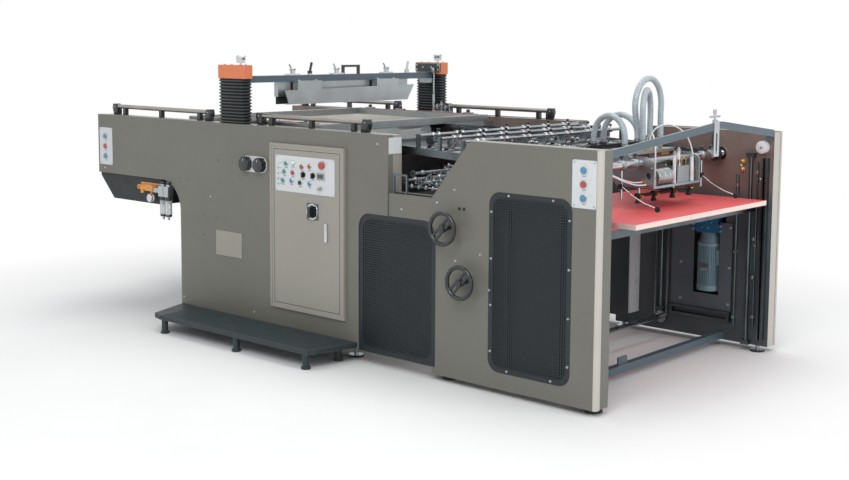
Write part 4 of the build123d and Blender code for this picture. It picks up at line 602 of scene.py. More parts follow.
# Other finishes for some faces of a node: f is the distance of the face's middle from the feeder end,
# a from the near face, z its height, all in millimetres, and n is the way it faces
FACE_FINISH = {
    # Pale paint on the rounded corner at the feeder end: a painted highlight
    "near_covers": (("post", lambda f, a, z, n: f < 18 and a < 40 and n.x > 0.03),),
    # The frame's end takes the covers' paint; the lighter door colour on the notch wall and on the upward
    # faces is cover paint with painted light where they face the lamps
    "near_side_frame": (
        ("cover", lambda f, a, z, n: n.x > 0.9 and f < 5),
        ("door", lambda f, a, z, n: n.x > 0.9 and 1300 < f < 1340),
        ("door", lambda f, a, z, n: n.z > 0.9 and z > 940),
    ),
    # Pale paint on the far cover's corner and on the far frame's end: a painted highlight
    "far_covers": (("post", lambda f, a, z, n: f < 18 and n.x > 0.03),),
    "far_side_frame": (("post", lambda f, a, z, n: n.x > 0.9 and f < 5),),
    "lift_heads": (
        ("steel", lambda f, a, z, n: z < CAP_BOTTOM - 0.5),
        ("chrome", lambda f, a, z, n: z > CAP_TOP + 0.5),
    ),
    "squeegee_beam": (
        ("black_plastic", lambda f, a, z, n: z > BEAM_TOP + 0.5 and 915 < a < 1085),
        ("chrome", lambda f, a, z, n: z > BEAM_TOP + 0.5),
        ("aluminium", lambda f, a, z, n: z < BEAM_BOTTOM - 0.5 or f < LIFT_MIDDLE - BEAM_HALF - 0.5),
    ),
    "squeegee": (("rubber", lambda f, a, z, n: z < 1397),),
    "feed_table": (
        ("black_steel", lambda f, a, z, n: f > SLOPE_X - 3 and 191 < a < 1639),
        ("belt", lambda f, a, z, n: 200 < a < 1630 and 15 < z - table_height(f) < 19 and f < SLOPE_X),
        ("dark_steel", lambda f, a, z, n: a < 192 or a > 1638),
    ),
    "feeder_head": (
        ("chrome", lambda f, a, z, n: z > MANIFOLD_TOP + 1 and f < 600),
        ("chrome", lambda f, a, z, n: abs(f - BAR_X) < 41 and (a < HEAD_NEAR - 1 or a > HEAD_FAR + 1)),
        ("black_steel", lambda f, a, z, n: f > 700 and z < 1173),
    ),
    "sucker_bar": (
        ("rubber", lambda f, a, z, n: z < 921.5),
        ("chrome", lambda f, a, z, n: z > 950),
    ),
    "pile_board": (
        ("dark_steel", lambda f, a, z, n: z < BOARD_TOP - 26.5),
        # The board's sides in near-white pink, a painted highlight
        ("lit_board_edge", lambda f, a, z, n: abs(n.z) < 0.5 and (f < 16 or a < 341 or a > 1673)),
    ),
    "pile_lift_frame": (
        ("slate", lambda f, a, z, n: 1707 < a < 1709 and f > 200),
        ("white_plate", lambda f, a, z, n: 849 < f < 863 and z < 631),
        ("white_plate", lambda f, a, z, n: f < 103 and 1127 < z < 1201),
    ),
    "gear_motor": (("gearbox", lambda f, a, z, n: z > 648),),
    "delivery_table": (
        (
            "belt",
            lambda f,
            a,
            z,
            n: 1060 < z < 1160 and on_belt(a) and not 1139 < z < 1146.5 and abs(n.y) < 0.9,
        ),
    ),
    "air_service_unit": (
        ("bowl", lambda f, a, z, n: f < 3275 and 639 < z < 765.5),
        ("orange_plastic", lambda f, a, z, n: f > 3339 and z > 766),
        ("white_plastic", lambda f, a, z, n: 3335 < f < 3395),
    ),
    "feeder_top_bar": (("brushed", lambda f, a, z, n: n.z > 0.6),),
    "levelling_feet": (("rubber", lambda f, a, z, n: z < 11),),
    "side_plates": (
        ("door", lambda f, a, z, n: 2490 < f < 2750 and z < 640),
        ("dark_steel", lambda f, a, z, n: 1200 < f < 1302 and z < 1060),
        ("rubber", lambda f, a, z, n: 795 < f < 850),
    ),
    "handrails": (("black_plastic", lambda f, a, z, n: z < RAIL_Z - 13.6),),
    "impression_cylinder": (("dark_steel", lambda f, a, z, n: a > 1606),),
}


def dress_nodes():
    """Give every CAD node its finish, and some of its faces another."""
    finish_of = {name: finish for finish, names in FINISH_OF.items() for name in names.split()}
    for name, finish in finish_of.items():
        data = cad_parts[name].data
        data.materials.clear()
        data.materials.append(FINISH[finish])
        rules = FACE_FINISH.get(name, ())
        slots = {}
        for other, test in rules:
            if other not in slots:
                slots[other] = len(data.materials)
                data.materials.append(FINISH[other])
        for face in data.polygons if rules else ():
            middle = face.center
            from_end, across = LENGTH / 2 - middle.x * 1000, middle.y * 1000 - NEAR_Y
            where = (from_end, across, middle.z * 1000, face.normal)
            face.material_index = next((slots[other] for other, test in rules if test(*where)), 0)


# Hoses

HOSE_CUFF = 22.0
LOW_PROFILE = ((0, 1186), (0, 1262), (46, 1325), (122, 1350), (198, 1325), (244, 1262), (244, 1186))
TALL_PROFILE = (
    (1056, 1212), (1056, 1280), (1030, 1350), (1022, 1428), (1056, 1500), (1120, 1546),
    (1198, 1546), (1262, 1500), (1292, 1426), (1286, 1346), (1290, 1275), (1290, 1212),
)
INNER_PROFILE = (
    (30, 1212), (30, 1268), (9, 1330), (12, 1400), (54, 1460), (122, 1488),
    (196, 1475), (252, 1424), (271, 1352), (259, 1278), (259, 1212),
)
HEAD_TUBE = (
    (250, 885, 1033), (250, 885, 1120), (254, 890, 1205), (292, 926, 1262),
    (352, 1000, 1262), (405, 1040, 1222), (405, 1040, 1164),
)
ARCH_TUBE = (
    (420, 1090, 1164), (420, 1090, 1228), (392, 1116, 1290), (340, 1178, 1306),
    (296, 1250, 1262), (272, 1284, 1190), (262, 1294, 1110), (262, 1294, 1033),
)
WALL_TUBE = (
    (110, 1182), (190, 1182), (300, 1163), (405, 1131), (510, 1091),
    (615, 1055), (715, 1028), (785, 1017), (850, 1017),
)


def along(base, target, profile):
    """Route of a hose in one upright plane, from distances and heights in millimetres."""
    reach = math.dist(base, target)
    route = []
    for distance, height in profile:
        share = distance / reach
        middle = [first + (second - first) * share for first, second in zip(base, target)]
        route.append(place(*middle, height))
    return route


def hose_routes():
    """Points of the four large hoses."""
    return {
        "hose_tall": along((470, 0), (470, 1000), TALL_PROFILE),
        "hose_inner": along((417, 1015), (527, 1280), INNER_PROFILE),
        "hose_low": along((740, 1038), (483, 980), LOW_PROFILE),
        "hose_rear": along((752, 1150), (508, 1126), LOW_PROFILE),
    }


def tube_routes():
    """Points of the four thin air tubes."""
    return {
        "air_tube_head": [place(*point) for point in HEAD_TUBE],
        "air_tube_arch": [place(*point) for point in ARCH_TUBE],
        "air_tube_wall": [place(300, across, height) for across, height in WALL_TUBE],
        "air_tube_wall_low": [place(276, across, height - 12) for across, height in WALL_TUBE],
    }


def spline_points(route):
    """Points read from the smooth line of a route, and its length."""
    curve = bpy.data.curves.new("route", "CURVE")
    curve.dimensions = "3D"
    curve.resolution_u = 24
    spline = curve.splines.new("NURBS")
    spline.points.add(len(route) - 1)
    for point, position in zip(spline.points, route):
        point.co = (*position, 1.0)
    spline.order_u = 3
    spline.use_endpoint_u = True
    holder = bpy.data.objects.new("route", curve)
    bpy.context.scene.collection.objects.link(holder)
    bpy.context.view_layer.update()
    data = bpy.data.meshes.new_from_object(holder)
    points = [vert.co.copy() for vert in data.vertices]
    bpy.data.objects.remove(holder)
    bpy.data.meshes.remove(data)
    bpy.data.curves.remove(curve)
    length = sum((second - first).length for first, second in zip(points, points[1:]))
    return points, length


def even_points(points, step):
    """The same line with points about a step apart."""
    total = sum((second - first).length for first, second in zip(points, points[1:]))
    count = max(2, round(total / step))
    result = [points[0].copy()]
    wanted = total / count
    travelled = 0.0
    for first, second in zip(points, points[1:]):
        run = (second - first).length
        while travelled + run >= wanted * len(result) and len(result) < count:
            result.append(first.lerp(second, (wanted * len(result) - travelled) / run))
        travelled += run
    result.append(points[-1].copy())
    return result


def coil_points(line, radius, pitch):
    """Points of a coil that winds round a line, radius in millimetres and pitch in metres."""
    step = (line[1] - line[0]).length
    points = []
    for index, (point, first, second) in enumerate(across_line(line)):
        turn = 2 * math.pi * index * step / pitch
        points.append(point + (first * math.cos(turn) + second * math.sin(turn)) * mm(radius))
    return points


def declare_tube(route, length):
    """Takes the first point of a route and does nothing with it."""
    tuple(route[0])


def make_hoses(sizes):
    """Four coiled hoses and four thin tubes, with cuffs, clips and end fittings."""
    radius = sizes.hose_diameter * 500
    thin = sizes.tube_diameter * 500
    pitch = sizes.coil_pitch
    cuffs = Maker("hose_cuffs")
    for name, route in hose_routes().items():
        points, length = spline_points(route)
        line = even_points(points, 0.012)
        maker = Maker(name)
        maker.tube(line, radius - 1.2, "hose", 20)
        maker.tube(coil_points(even_points(points, pitch / 10), radius - 1.4, pitch), 1.3, "hose_coil", 5)
        hose = maker.made("machine", crease=80)
        if name == "hose_tall":
            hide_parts("feeder_hoses")
        declare_tube(route, length)
        for end in (route[0], route[-1]):
            profile = (
                (0, radius - 1), (2, radius + 1.5), (HOSE_CUFF + 8, radius + 1.5), (HOSE_CUFF + 10, radius)
            )
            cuffs.turned(end - Vector((0, 0, mm(HOSE_CUFF))), UP, profile, "rubber")
            cuffs.turned(end, UP, ((0, radius + 2.4), (8, radius + 2.4)), "zinc")
            cuffs.turned(end + Vector((mm(radius + 3), mm(-7), mm(4))), BACK, ((0, 4), (14, 4)), "zinc", 10)
    for name, route in tube_routes().items():
        points, length = spline_points(route)
        line = even_points(points, 0.008)
        maker = Maker(name)
        maker.tube(line, thin, "tube", 10)
        piece = maker.made("machine", crease=80)
        declare_tube(route, length)
        for end, inner in ((route[0], route[1]), (route[-1], route[-2])):
            profile = ((0, 8), (7, 8), (7.5, 6.5), (13, 6.5), (14, 5.5))
            cuffs.turned(end, inner - end, profile, "brass", 6)
    cuffs.made("machine")


# Bellows on the lift posts


def make_bellows(sizes):
    """Bellows with soft folds, drawn at one height and fixed to the machine, though the real ones close up as
    the squeegee bridge comes down.
    """
    maker = Maker("lift_bellows")
    # They reach half a millimetre into the plate under each head
    tall = CAP_BOTTOM - HEAD_PLATE + 0.5 - FRAME_TOP
    parts, fold_depth, wall_gap, corner = 8, 8.0, 7.0, 6.0
    steps = sizes.pleats * parts
    for outer, inner in ((CAP_OUT, CAP_IN), (FRAME_WIDTH - CAP_IN, FRAME_WIDTH - CAP_OUT)):
        rows = []
        for step in range(steps + 1):
            fold = 0.5 + 0.5 * math.cos(2 * math.pi * step / parts)
            drawn = fold_depth * fold ** 1.6
            height = FRAME_TOP + step * tall / steps
            half = LIFT_HALF - wall_gap - drawn
            sides = (LIFT_MIDDLE - half, LIFT_MIDDLE + half, outer + drawn, inner - drawn)
            outline = rounded(*sides, corner, parts=3)
            rows.append([place(x, y, height) for x, y in outline])
        maker.rings(rows, "bellows")
    piece = maker.made("machine", crease=50)
    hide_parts("column_bellows")
    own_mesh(piece)


# Screen cloth

SCREEN_HALF = 600.0
SCREEN_EDGE = 205.3
CLOTH_Z = 1223.2
SCREEN_TOP = 1264.0


def make_cloth():
    """Stretched cloth under the screen frame."""
    maker = Maker("screen_cloth")
    low = place(LIFT_MIDDLE + SCREEN_HALF, SCREEN_EDGE, CLOTH_Z)
    high = place(LIFT_MIDDLE - SCREEN_HALF, FRAME_WIDTH - SCREEN_EDGE, CLOTH_Z)
    columns, rows, deepest = 24, 28, 0.5
    grid = []
    for column in range(columns + 1):
        line = []
        for row in range(rows + 1):
            sag = math.sin(math.pi * column / columns) * math.sin(math.pi * row / rows)
            x = low.x + (high.x - low.x) * column / columns
            y = low.y + (high.y - low.y) * row / rows
            line.append(Vector((x, y, low.z - mm(deepest) * sag)))
        grid.append(line)
    maker.rings(grid, "screen_cloth", closed=False, caps=False)
    cloth = maker.made("screen_carriage")
    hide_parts("screen_mesh")


def make_clamps():
    """Clamps with knobs and a red strip along both sides of the screen frame."""
    clamps = Maker("screen_clamps")
    for edge in (165.0, FRAME_WIDTH - 205.0):
        for x in CLAMP_DISTANCES:
            clamps.block(
                place(x - 35, edge + 4, SCREEN_TOP), place(x + 35, edge + 36, SCREEN_TOP + 10), "aluminium", 2
            )
            knob = place(x, edge + 20, SCREEN_TOP + 10)
            clamps.turned(knob, UP, ((0, 9), (3, 13), (14, 13), (17, 10)), "black_plastic", 12)
            clamps.turned(knob + Vector((0, 0, mm(17))), UP, ((0, 5), (8, 5)), "chrome", 10)
        strip = edge + (36 if edge < 500 else 1)
        clamps.block(
            place(2050, strip, SCREEN_TOP), place(3150, strip + 3, SCREEN_TOP + 4), "red_plastic", 0.5
        )
    clamps.made("screen_carriage")


# Perforated grilles


def make_grilles(sizes):
    """Perforated sheets with their rims, in place of the two plain grilles."""
    pitch = sizes.grille_pitch * 1000
    hole = sizes.grille_hole * 500
    rim, thick = 26.0, 3.0
    face = COVER_STEP
    square = ((0.5, 0), (0.5, 0.5), (0, 0.5), (-0.5, 0.5), (-0.5, 0), (-0.5, -0.5), (0, -0.5), (0.5, -0.5))
    octagon = [(math.cos(part * math.pi / 4), math.sin(part * math.pi / 4)) for part in range(8)]
    for name, (start, end, bottom, top), radius, square_foot in GRILLES:
        foot = 2.0 if square_foot else None
        maker = Maker(name)
        outer = rounded(end, start, bottom, top, radius, foot)
        inner = rounded(end + rim, start - rim, bottom + rim, top - rim, radius - rim / 2)
        rows = []
        for outline, depth in ((inner, face + thick), (outer, face + thick), (outer, face), (inner, face)):
            rows.append([place(x, depth, z) for x, z in outline])
        maker.rings(rows, "grille", loop=True)
        piece = maker.made("machine")
        if square_foot:
            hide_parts("vent_grilles")
        points, faces = [], []
        columns = int((start - end - rim) / pitch)
        lines = int((top - bottom - rim) / pitch)
        left = (start + end - columns * pitch) / 2
        low = (top + bottom - lines * pitch) / 2
        for column in range(columns):
            for line in range(lines):
                x, z = left + (column + 0.5) * pitch, low + (line + 0.5) * pitch
                corner = 2.0 if square_foot and z < (top + bottom) / 2 else radius
                into_x = corner - min(x - end, start - x)
                into_z = corner - min(z - bottom, top - z)
                if into_x > 0 and into_z > 0 and math.hypot(into_x, into_z) > corner - 14:
                    continue
                base = len(points)
                points.extend(place(x + a * pitch, face + 0.6, z + b * pitch) for a, b in square)
                for depth in (0.6, 2.2):
                    points.extend(place(x + a * hole, face + depth, z + b * hole) for a, b in octagon)
                for part in range(8):
                    after = (part + 1) % 8
                    for edge in (base, base + 8):
                        faces.append((edge + part, edge + after, edge + 8 + after, edge + 8 + part))
        sheet = bpy.data.meshes.new(name + "_sheet")
        sheet.from_pydata(points, [], faces)
        sheet.materials.append(FINISH["grille"])
        plate = bpy.data.objects.new(name + "_sheet", sheet)
        bpy.context.scene.collection.objects.link(plate)
        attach(plate, "machine")


# Lift heads, beam and the far post


def make_lift_fittings():
    """Dials and bolts of the lift heads, clamps and bolts of the beam, and the far post's sliding rod."""
    maker = Maker("lift_fittings")
    for middle in ((CAP_OUT + CAP_IN) / 2, FRAME_WIDTH - (CAP_OUT + CAP_IN) / 2):
        dial = place(LIFT_MIDDLE - 52, middle, CAP_TOP)
        cup = ((30, 26.2), (33, 28), (46, 29), (52, 29), (54, 27))
        maker.turned(dial, UP, cup, "chrome", 28)
        maker.turned(dial, UP, ((56, 20), (57, 20)), "white_plastic", 24)
        for step in (95, 30):
            maker.bolt(place(LIFT_MIDDLE + step, middle, CAP_TOP), UP, 11, "zinc")
        reach = LIFT_HALF - 4
        low, high = middle - 31.5, middle + 31.5
        outline = rounded(LIFT_MIDDLE - reach, LIFT_MIDDLE + reach, low, high, 8, parts=4)
        low = [place(x, y, CAP_BOTTOM - HEAD_PLATE) for x, y in outline]
        maker.slab(low, Vector((0, 0, mm(HEAD_PLATE))), "black_steel")
    low, high = place(LIFT_MIDDLE - 112, POST_IN - 12, 1531), place(LIFT_MIDDLE + 112, POST_IN, 1590)
    maker.block(low, high, "iron", 2)
    for step, height in ((-96, 1545), (-96, 1576), (96, 1545), (96, 1576), (-34, 1560), (40, 1560)):
        maker.bolt(place(LIFT_MIDDLE + step, POST_IN - 12, height), OUT, 12, "zinc")
    low, high = place(LIFT_MIDDLE - 78, POST_IN - 34, 1513), place(LIFT_MIDDLE - 58, POST_IN - 12, 1560)
    maker.block(low, high, "brushed", 2)
    maker.bolt(place(LIFT_MIDDLE - 68, POST_IN - 34, 1546), OUT, 13, "zinc")
    maker.rod(place(*SLIDING_ROD, 1383), place(*SLIDING_ROD, 1514), 5, "chrome")
    for clamp in (495.0, 872.0, 1331.0):
        base = place(LIFT_MIDDLE, clamp, BEAM_TOP + 30)
        maker.turned(base, UP, ((0, 19), (4, 21), (8, 21), (12, 16)), "chrome")
        handle = (place(LIFT_MIDDLE, clamp - 8, BEAM_TOP + 38), place(LIFT_MIDDLE, clamp - 28, BEAM_TOP + 68))
        maker.rod(*handle, 4.5, "zinc")
    plug = ((0, 14), (3, 14), (4, 8), (10, 8))
    for first, last in ((470.0, 672.0), (1165.0, 1375.0)):
        for middle in (first + 30, last - 30):
            maker.bolt(place(LIFT_MIDDLE - 53, middle, BEAM_BOTTOM + 6), UP, 14, "zinc")
        for end, way in ((first, -1), (last, 1)):
            maker.turned(place(LIFT_MIDDLE - 52, end, 1423), (0, way, 0), plug, "brass", 8)
    maker.made("squeegee_bridge")


def make_post_fittings():
    """Guide tube of the sliding rod and the small knobs beside the far post."""
    post = Maker("far_post_fittings")
    foot = place(*SLIDING_ROD, POST_FOOT)
    post.collar(foot, UP, 8, 15, 5.8, "chrome")
    post.collar(foot, UP, 134, 8, 5.8, "chrome", 14)
    line = FAR_IN + 14
    for x, height, size in ((2500, 44, 7), (2462, 62, 6), (2424, 34, 8), (2390, 52, 5)):
        base = place(x, line, POST_FOOT)
        top = base + Vector((0, 0, mm(18)))
        corner = Vector((mm(13), mm(11), 0))
        post.block(base - corner, top + corner, "aluminium", 1.5)
        post.rod(top, base + Vector((0, 0, mm(18 + height))), size, "chrome")
        wing = base + Vector((mm(-19), 0, mm(18 + height * 0.7)))
        post.rod(wing, wing + Vector((mm(38), 0, 0)), 3.5, "zinc", 10)
    post.made("machine")


def make_rail_ends():
    """Black moulded brackets that hold the ends of the four handrails."""
    maker = Maker("handrail_brackets")
    for middle in (RAIL_INSET, FRAME_WIDTH - RAIL_INSET):
        for start, end in ((3860.0, 2870.0), (2430.0, 1540.0)):
            for tip, way in ((start, 1), (end, -1)):
                profile = (
                    (tip + way * 6, RAIL_Z + 18),
                    (tip - way * 30, RAIL_Z + 18),
                    (tip - way * 44, RAIL_Z - 18),
                    (tip - way * 44, POST_FOOT),
                    (tip - way * 2, POST_FOOT),
                    (tip + way * 12, RAIL_Z - 8),
                )
                outline = [place(x, middle - 18, z) for x, z in profile]
                maker.slab(outline, Vector((0, mm(36), 0)), "black_plastic", 3)
                maker.turned(place(tip - way * 12, middle - 18, RAIL_Z), OUT, ((0, 5), (1.5, 5)), "zinc", 6)
    maker.made("machine")


# Tables


def make_feed_table_fittings():
    """Ball races over the tapes, and collars and knobs on the bars of the hold-down wheels."""
    maker = Maker("feed_table_fittings")
    for tape in TAPES[1::2]:
        for near, far in ((1185, 1240), (1030, 1085), (700, 920)):
            low = [place(x, tape - 9, table_height(x) + 30) for x in (near, far)]
            high = [point + Vector((0, mm(18), 0)) for point in reversed(low)]
            maker.slab(low + high, Vector((0, 0, mm(2))), "zinc")
            for x in range(near + 12, far - 8, 34):
                ball = place(x, tape, table_height(x) + 18.5)
                maker.turned(ball, UP, ((0, 3), (3, 7), (9, 9), (15, 7), (18, 3)), "chrome", 12)
    collar = ((0, 13), (2, 15), (14, 15), (16, 13))
    for bar in WHEEL_BARS:
        height = table_height(bar + 38) + WHEEL_BAR_RISE
        for tape in TAPES:
            for step in (-26, 22):
                maker.turned(place(bar, tape + step - 8, height), BACK, collar, "chrome", 14)
            knob = place(bar, tape + 22, height + 14)
            maker.turned(knob, UP, ((0, 3), (8, 3), (8.5, 8), (16, 9), (20, 6)), "black_plastic", 12)
    maker.made("machine")


def make_sheet_guides():
    """Rods, slats, rollers and collars of the sheet guides below the notch."""
    lower = Maker("lower_sheet_guides")
    for row in range(7):
        across, height = 150 + 50 * row, 972 + 15 * row
        lower.rod(place(1024, across, height), place(1322, across, height), 5, "chrome", 10)
        for x in range(1040 + 17 * (row % 3), 1312, 50):
            fitting = place(x, across, height - 9)
            lower.turned(fitting, UP, ((0, 7), (2, 9), (14, 9), (16, 7), (22, 4)), "zinc", 10)
    for row in range(2, 9):
        across = 150 + 190 * row
        for x, height in ((1030, 968), (1030, 1012)):
            low = [place(x, across - 7, height), place(x + 290, across - 7, height + 14)]
            high = [point + Vector((0, mm(14), 0)) for point in reversed(low)]
            lower.slab(low + high, Vector((0, 0, mm(5))), "steel" if height > 1000 else "dark_steel", 1)
        for x in range(1046 + 14 * (row % 3), 1316, 44):
            roller = place(x, across - 11, 992)
            lower.turned(roller, BACK, ((0, 9), (3, 12), (19, 12), (22, 9)), "chrome", 12)
    for x, height in ((1060, 996), (1130, 1034), (1195, 1001), (1250, 1046), (1305, 1006)):
        lower.rod(place(x, BOX_DEPTH, height), place(x, FAR_IN, height), 7, "chrome", 12)
        for across in range(190, 1700, 190):
            collar = place(x, across - 10, height)
            lower.turned(collar, BACK, ((0, 11), (2, 13), (18, 13), (20, 11)), "zinc", 12)
        for across, way in ((BOX_DEPTH, 1), (FAR_IN, -1)):
            lower.turned(
                place(x, across, height), (0, way, 0), ((0, 18), (7, 18), (8, 12), (16, 12)), "dark_steel", 18
            )
    lower.made("machine")


def make_delivery_fittings():
    """Bearings of the delivery roller, and two rods of guide wheels over the belts."""
    delivery = Maker("delivery_fittings")
    roller_x, roller_z = DELIVERY_ROLLER
    for across, way in ((BOX_DEPTH, 1), (FAR_IN, -1)):
        delivery.collar(place(roller_x, across, roller_z), (0, way, 0), 12, 34, 17, "zinc", 28)
        for step in range(4):
            turn = math.pi * (0.25 + step / 2)
            bolt = place(roller_x + 25 * math.cos(turn), across + way * 12, roller_z + 25 * math.sin(turn))
            delivery.bolt(bolt, (0, way, 0), 9, "zinc")
    wheel = ((0, 12), (2, 14), (28, 14), (30, 12))
    for x in GUIDE_RODS:
        delivery.rod(*[place(x, rail, GUIDE_HEIGHT) for rail in TABLE_RAILS], 7, "chrome")
        for rail in TABLE_RAILS:
            low, high = place(x - 10, rail - 8, 1145), place(x + 10, rail + 8, GUIDE_HEIGHT + 9)
            delivery.block(low, high, "aluminium", 2)
        for number, belt in enumerate(BELTS):
            finish = "teal_plastic" if number % 2 else "white_plastic"
            delivery.turned(place(x, belt - 15, GUIDE_HEIGHT), BACK, wheel, finish, 16)
    delivery.made("machine")


def make_notch_edges():
    """Rubber strips along the edges of both notches."""
    notch = Maker("notch_edges")
    edge = ((1300, 946.2), (1022, 946.2), (776, 1246), (781, 1249), (1025, 952), (1300, 952))
    for across in (16, FAR_IN + 4):
        notch.slab([place(x, across, z) for x, z in edge], Vector((0, mm(20), 0)), "rubber", 1)
    notch.made("machine")


# Feeder head


def make_head_fittings():
    """Valves, springs, small cylinders and clamps on the feeder head and its bar."""
    maker = Maker("feeder_head_fittings")
    for across in (930, 1010, 1150, 1225):
        valve = ((0, 9), (4, 9), (5, 7), (24, 7), (25, 11), (32, 11), (34, 8))
        maker.turned(place(424, across, MANIFOLD_TOP), UP, valve, "brass", 14)
    for across in (910, 1260):
        line = [place(362, across, HEAD_FLOOR + 1 + step * 0.8) for step in range(84)]
        maker.tube(coil_points(line, 10.5, 0.008), 1.2, "zinc", 5)
        maker.collar(place(362, across, HEAD_FLOOR + 69), UP, 10, 14, 8, "aluminium")
    for x, across, low, high in (
        (252, 1080, HEAD_FLOOR, 150), (258, 1268, HEAD_FLOOR, 130), (264, 1140, 1085, 80)
    ):
        cylinder = ((0, 11), (12, 11), (13, 9), (high, 9), (high + 2, 6))
        maker.turned(place(x, across, low), UP, cylinder, "white_plastic", 16)
        maker.turned(place(x, across, low + high), UP, ((0, 11), (10, 11), (11, 6), (20, 6)), "zinc", 8)
    for across in (1126, 1170, 1214):
        maker.block(place(256, across - 15, 1085), place(300, across + 15, 1120), "black_plastic", 2)
        maker.turned(place(278, across, 1120), UP, ((0, 8), (4, 8), (5, 5), (12, 5)), "brass", 12)
    for across in (1000, 1045, 1120, 1170):
        maker.turned(place(440, across, 1060), UP, ((0, 13), (6, 13), (7, 10), (40, 10), (44, 6)), "zinc", 14)
    maker.block(place(246, 872, HEAD_FLOOR), place(268, 896, 1030), "red_plastic", 2)
    maker.block(place(470, 1210, 1128), place(412, 1296, 1147.5), "orange_plastic", 2)
    for across, way in ((HEAD_NEAR, -1), (HEAD_FAR, 1)):
        for x, height in ((300, 1010), (500, 1120), (420, 1010), (250, 1090), (380, 1140)):
            maker.bolt(place(x, across, height), (0, way, 0), 12, "zinc")
    for across in (690, 815, 1355, 1500, 1600):
        collar = ((0, 24), (2, 27), (24, 27), (26, 24))
        maker.turned(place(BAR_X, across - 13, BAR_Z), BACK, collar, "aluminium", 24)
        knob = ((0, 5), (14, 5), (14.5, 11), (24, 12), (28, 8))
        maker.turned(place(BAR_X, across, BAR_Z + 26), UP, knob, "black_plastic", 14)
    for step in (8, 60, 112, 138):
        maker.turned(place(275, 902 + step, 1038), BACK, ((0, 42.6), (2, 44), (5, 44), (7, 42.6)), "zinc", 28)
    maker.made("machine")


def make_sheet_holders():
    """Two rods with the arms and rubber wheels that hold the sheets."""
    holders = Maker("sheet_holders")
    for across in (690, 1500):
        holders.rod(place(BAR_X, across, BAR_Z - 20), place(BAR_X, across, 940), 7, "chrome")
        holders.block(
            place(BAR_X - 15, across - 12, 990), place(BAR_X + 15, across + 12, 1020), "black_steel", 2
        )
        arm = [
            place(BAR_X - 5, across, 1005),
            place(262, across, 962),
            place(190, across, 928),
            place(112, across, 906),
        ]
        holders.tube(arm, 4, "chrome", 10)
        holders.turned(place(112, across - 5, 906), BACK, ((0, 14), (2, 16), (8, 16), (10, 14)), "rubber", 20)
    holders.made("machine")


def make_sucker_fittings():
    """Brass nipples and rubber lips of the four sucker cups."""
    cups = Maker("sucker_fittings")
    for across in (905.0, 1060.0, 1250.0, 1425.0):
        cups.turned(
            place(349, across, 935),
            FEEDWARD,
            ((0, 7), (3, 7), (4, 5), (12, 5), (13, 6.5), (17, 6.5)),
            "brass",
            12,
        )
        for step in (0, 6, 12):
            lip = 17.0 - step * 0.35
            cups.turned(
                place(362, across, 897 + step), UP, ((0, lip - 0.6), (2, lip + 0.6), (4, lip - 0.8)), "rubber"
            )
    cups.made("sucker_bar")


# Far wall and drive


def make_chain_links():
    """Links on both strands of the two lift chains."""
    maker = Maker("lift_chain_links")
    for middle in (BOX_DEPTH + 10, FAR_IN - 10):
        for strand in (-39.3, 39.3):
            for link in range(60):
                low = place(SHAFT_X + strand, middle, 124 + link * 16)
                for step in (-5.4, 3.9):
                    corner = low + Vector((mm(-4.5), mm(step), 0))
                    maker.block(corner, corner + Vector((mm(9), mm(1.5), mm(12))), "zinc", 0)
    maker.made("machine")


def make_wall_fittings():
    """Pipes, bolts, nipples and the round plate on the far wall."""
    wall = Maker("far_wall_fittings")
    for x, height in (
        (240, 830), (110, 640), (110, 420), (560, 780), (78, 980), (200, 1050), (900, 700), (900, 400)
    ):
        wall.bolt(place(x, FAR_IN, height), OUT, 20, "zinc")
    for x, low, high, size in ((212, 120, 1000, 7), (92, 140, 1080, 6)):
        wall.rod(place(x, FAR_IN - 12, low), place(x, FAR_IN - 12, high), size, "dark_steel")
        for height in (low + 60, (low + high) / 2, high - 60):
            wall.block(place(x - 10, FAR_IN - 22, height - 9), place(x + 10, FAR_IN, height + 9), "zinc", 2)
    for height in (1030, 1075):
        nipple = ((0, 15), (6, 15), (7, 11), (20, 11), (22, 8))
        wall.turned(place(186, FAR_IN, height), OUT, nipple, "brass", 16)
    wall.turned(place(65, FAR_IN - 26, 1164), OUT, ((0, 31), (2, 31), (3, 29)), "white_plastic", 32)
    wall.turned(place(65, FAR_IN - 29, 1164), OUT, ((0, 7), (6, 7), (7, 5)), "zinc", 14)
    for x in (560, 250):
        for height in (245, 460, 690):
            wall.bolt(place(x, FAR_IN - 12, height), OUT, 16, "zinc")
    wall.made("machine")


def make_motor_fittings():
    """End rings, terminal plate and bolts of the motor and its gearbox."""
    motor = Maker("motor_fittings")
    motor.turned(place(MOTOR_X, MOTOR_MIDDLE, 312), UP, ((0, 71), (2, 73), (26, 73), (30, 71)), "motor", 36)
    motor.turned(
        place(MOTOR_X, MOTOR_MIDDLE, 590), (0, 0, -1), ((0, 71), (2, 73), (14, 73), (16, 71)), "motor", 36
    )
    for ring in range(3):
        radius = 62 - ring * 4
        band = ((0, radius), (2, radius + 2), (5, radius))
        motor.turned(place(MOTOR_X, MOTOR_MIDDLE, 604 + ring * 14), UP, band, "motor", 30)
    motor.block(place(MOTOR_X - 26, 1676.5, 430), place(MOTOR_X + 26, 1682, 470), "zinc", 1)
    for step in (-88, 88):
        for height in (665, 695):
            motor.bolt(place(MOTOR_X + step, FAR_IN - 20, height), OUT, 16, "zinc")
    motor.turned(place(MOTOR_X, GEARBOX_FACE, GEARBOX_Z), OUT, ((0, 30), (2.5, 30), (3.5, 22)), "gearbox", 28)
    for step in range(6):
        turn = step * math.pi / 3
        bolt = place(MOTOR_X + 37 * math.cos(turn), GEARBOX_FACE, GEARBOX_Z + 37 * math.sin(turn))
        motor.bolt(bolt, OUT, 9, "zinc")
    motor.turned(
        place(MOTOR_X - 40, MOTOR_MIDDLE - 20, 775), UP, ((0, 9), (6, 9), (7, 6), (13, 6)), "brass", 8
    )
    motor.made("machine")


# Controls


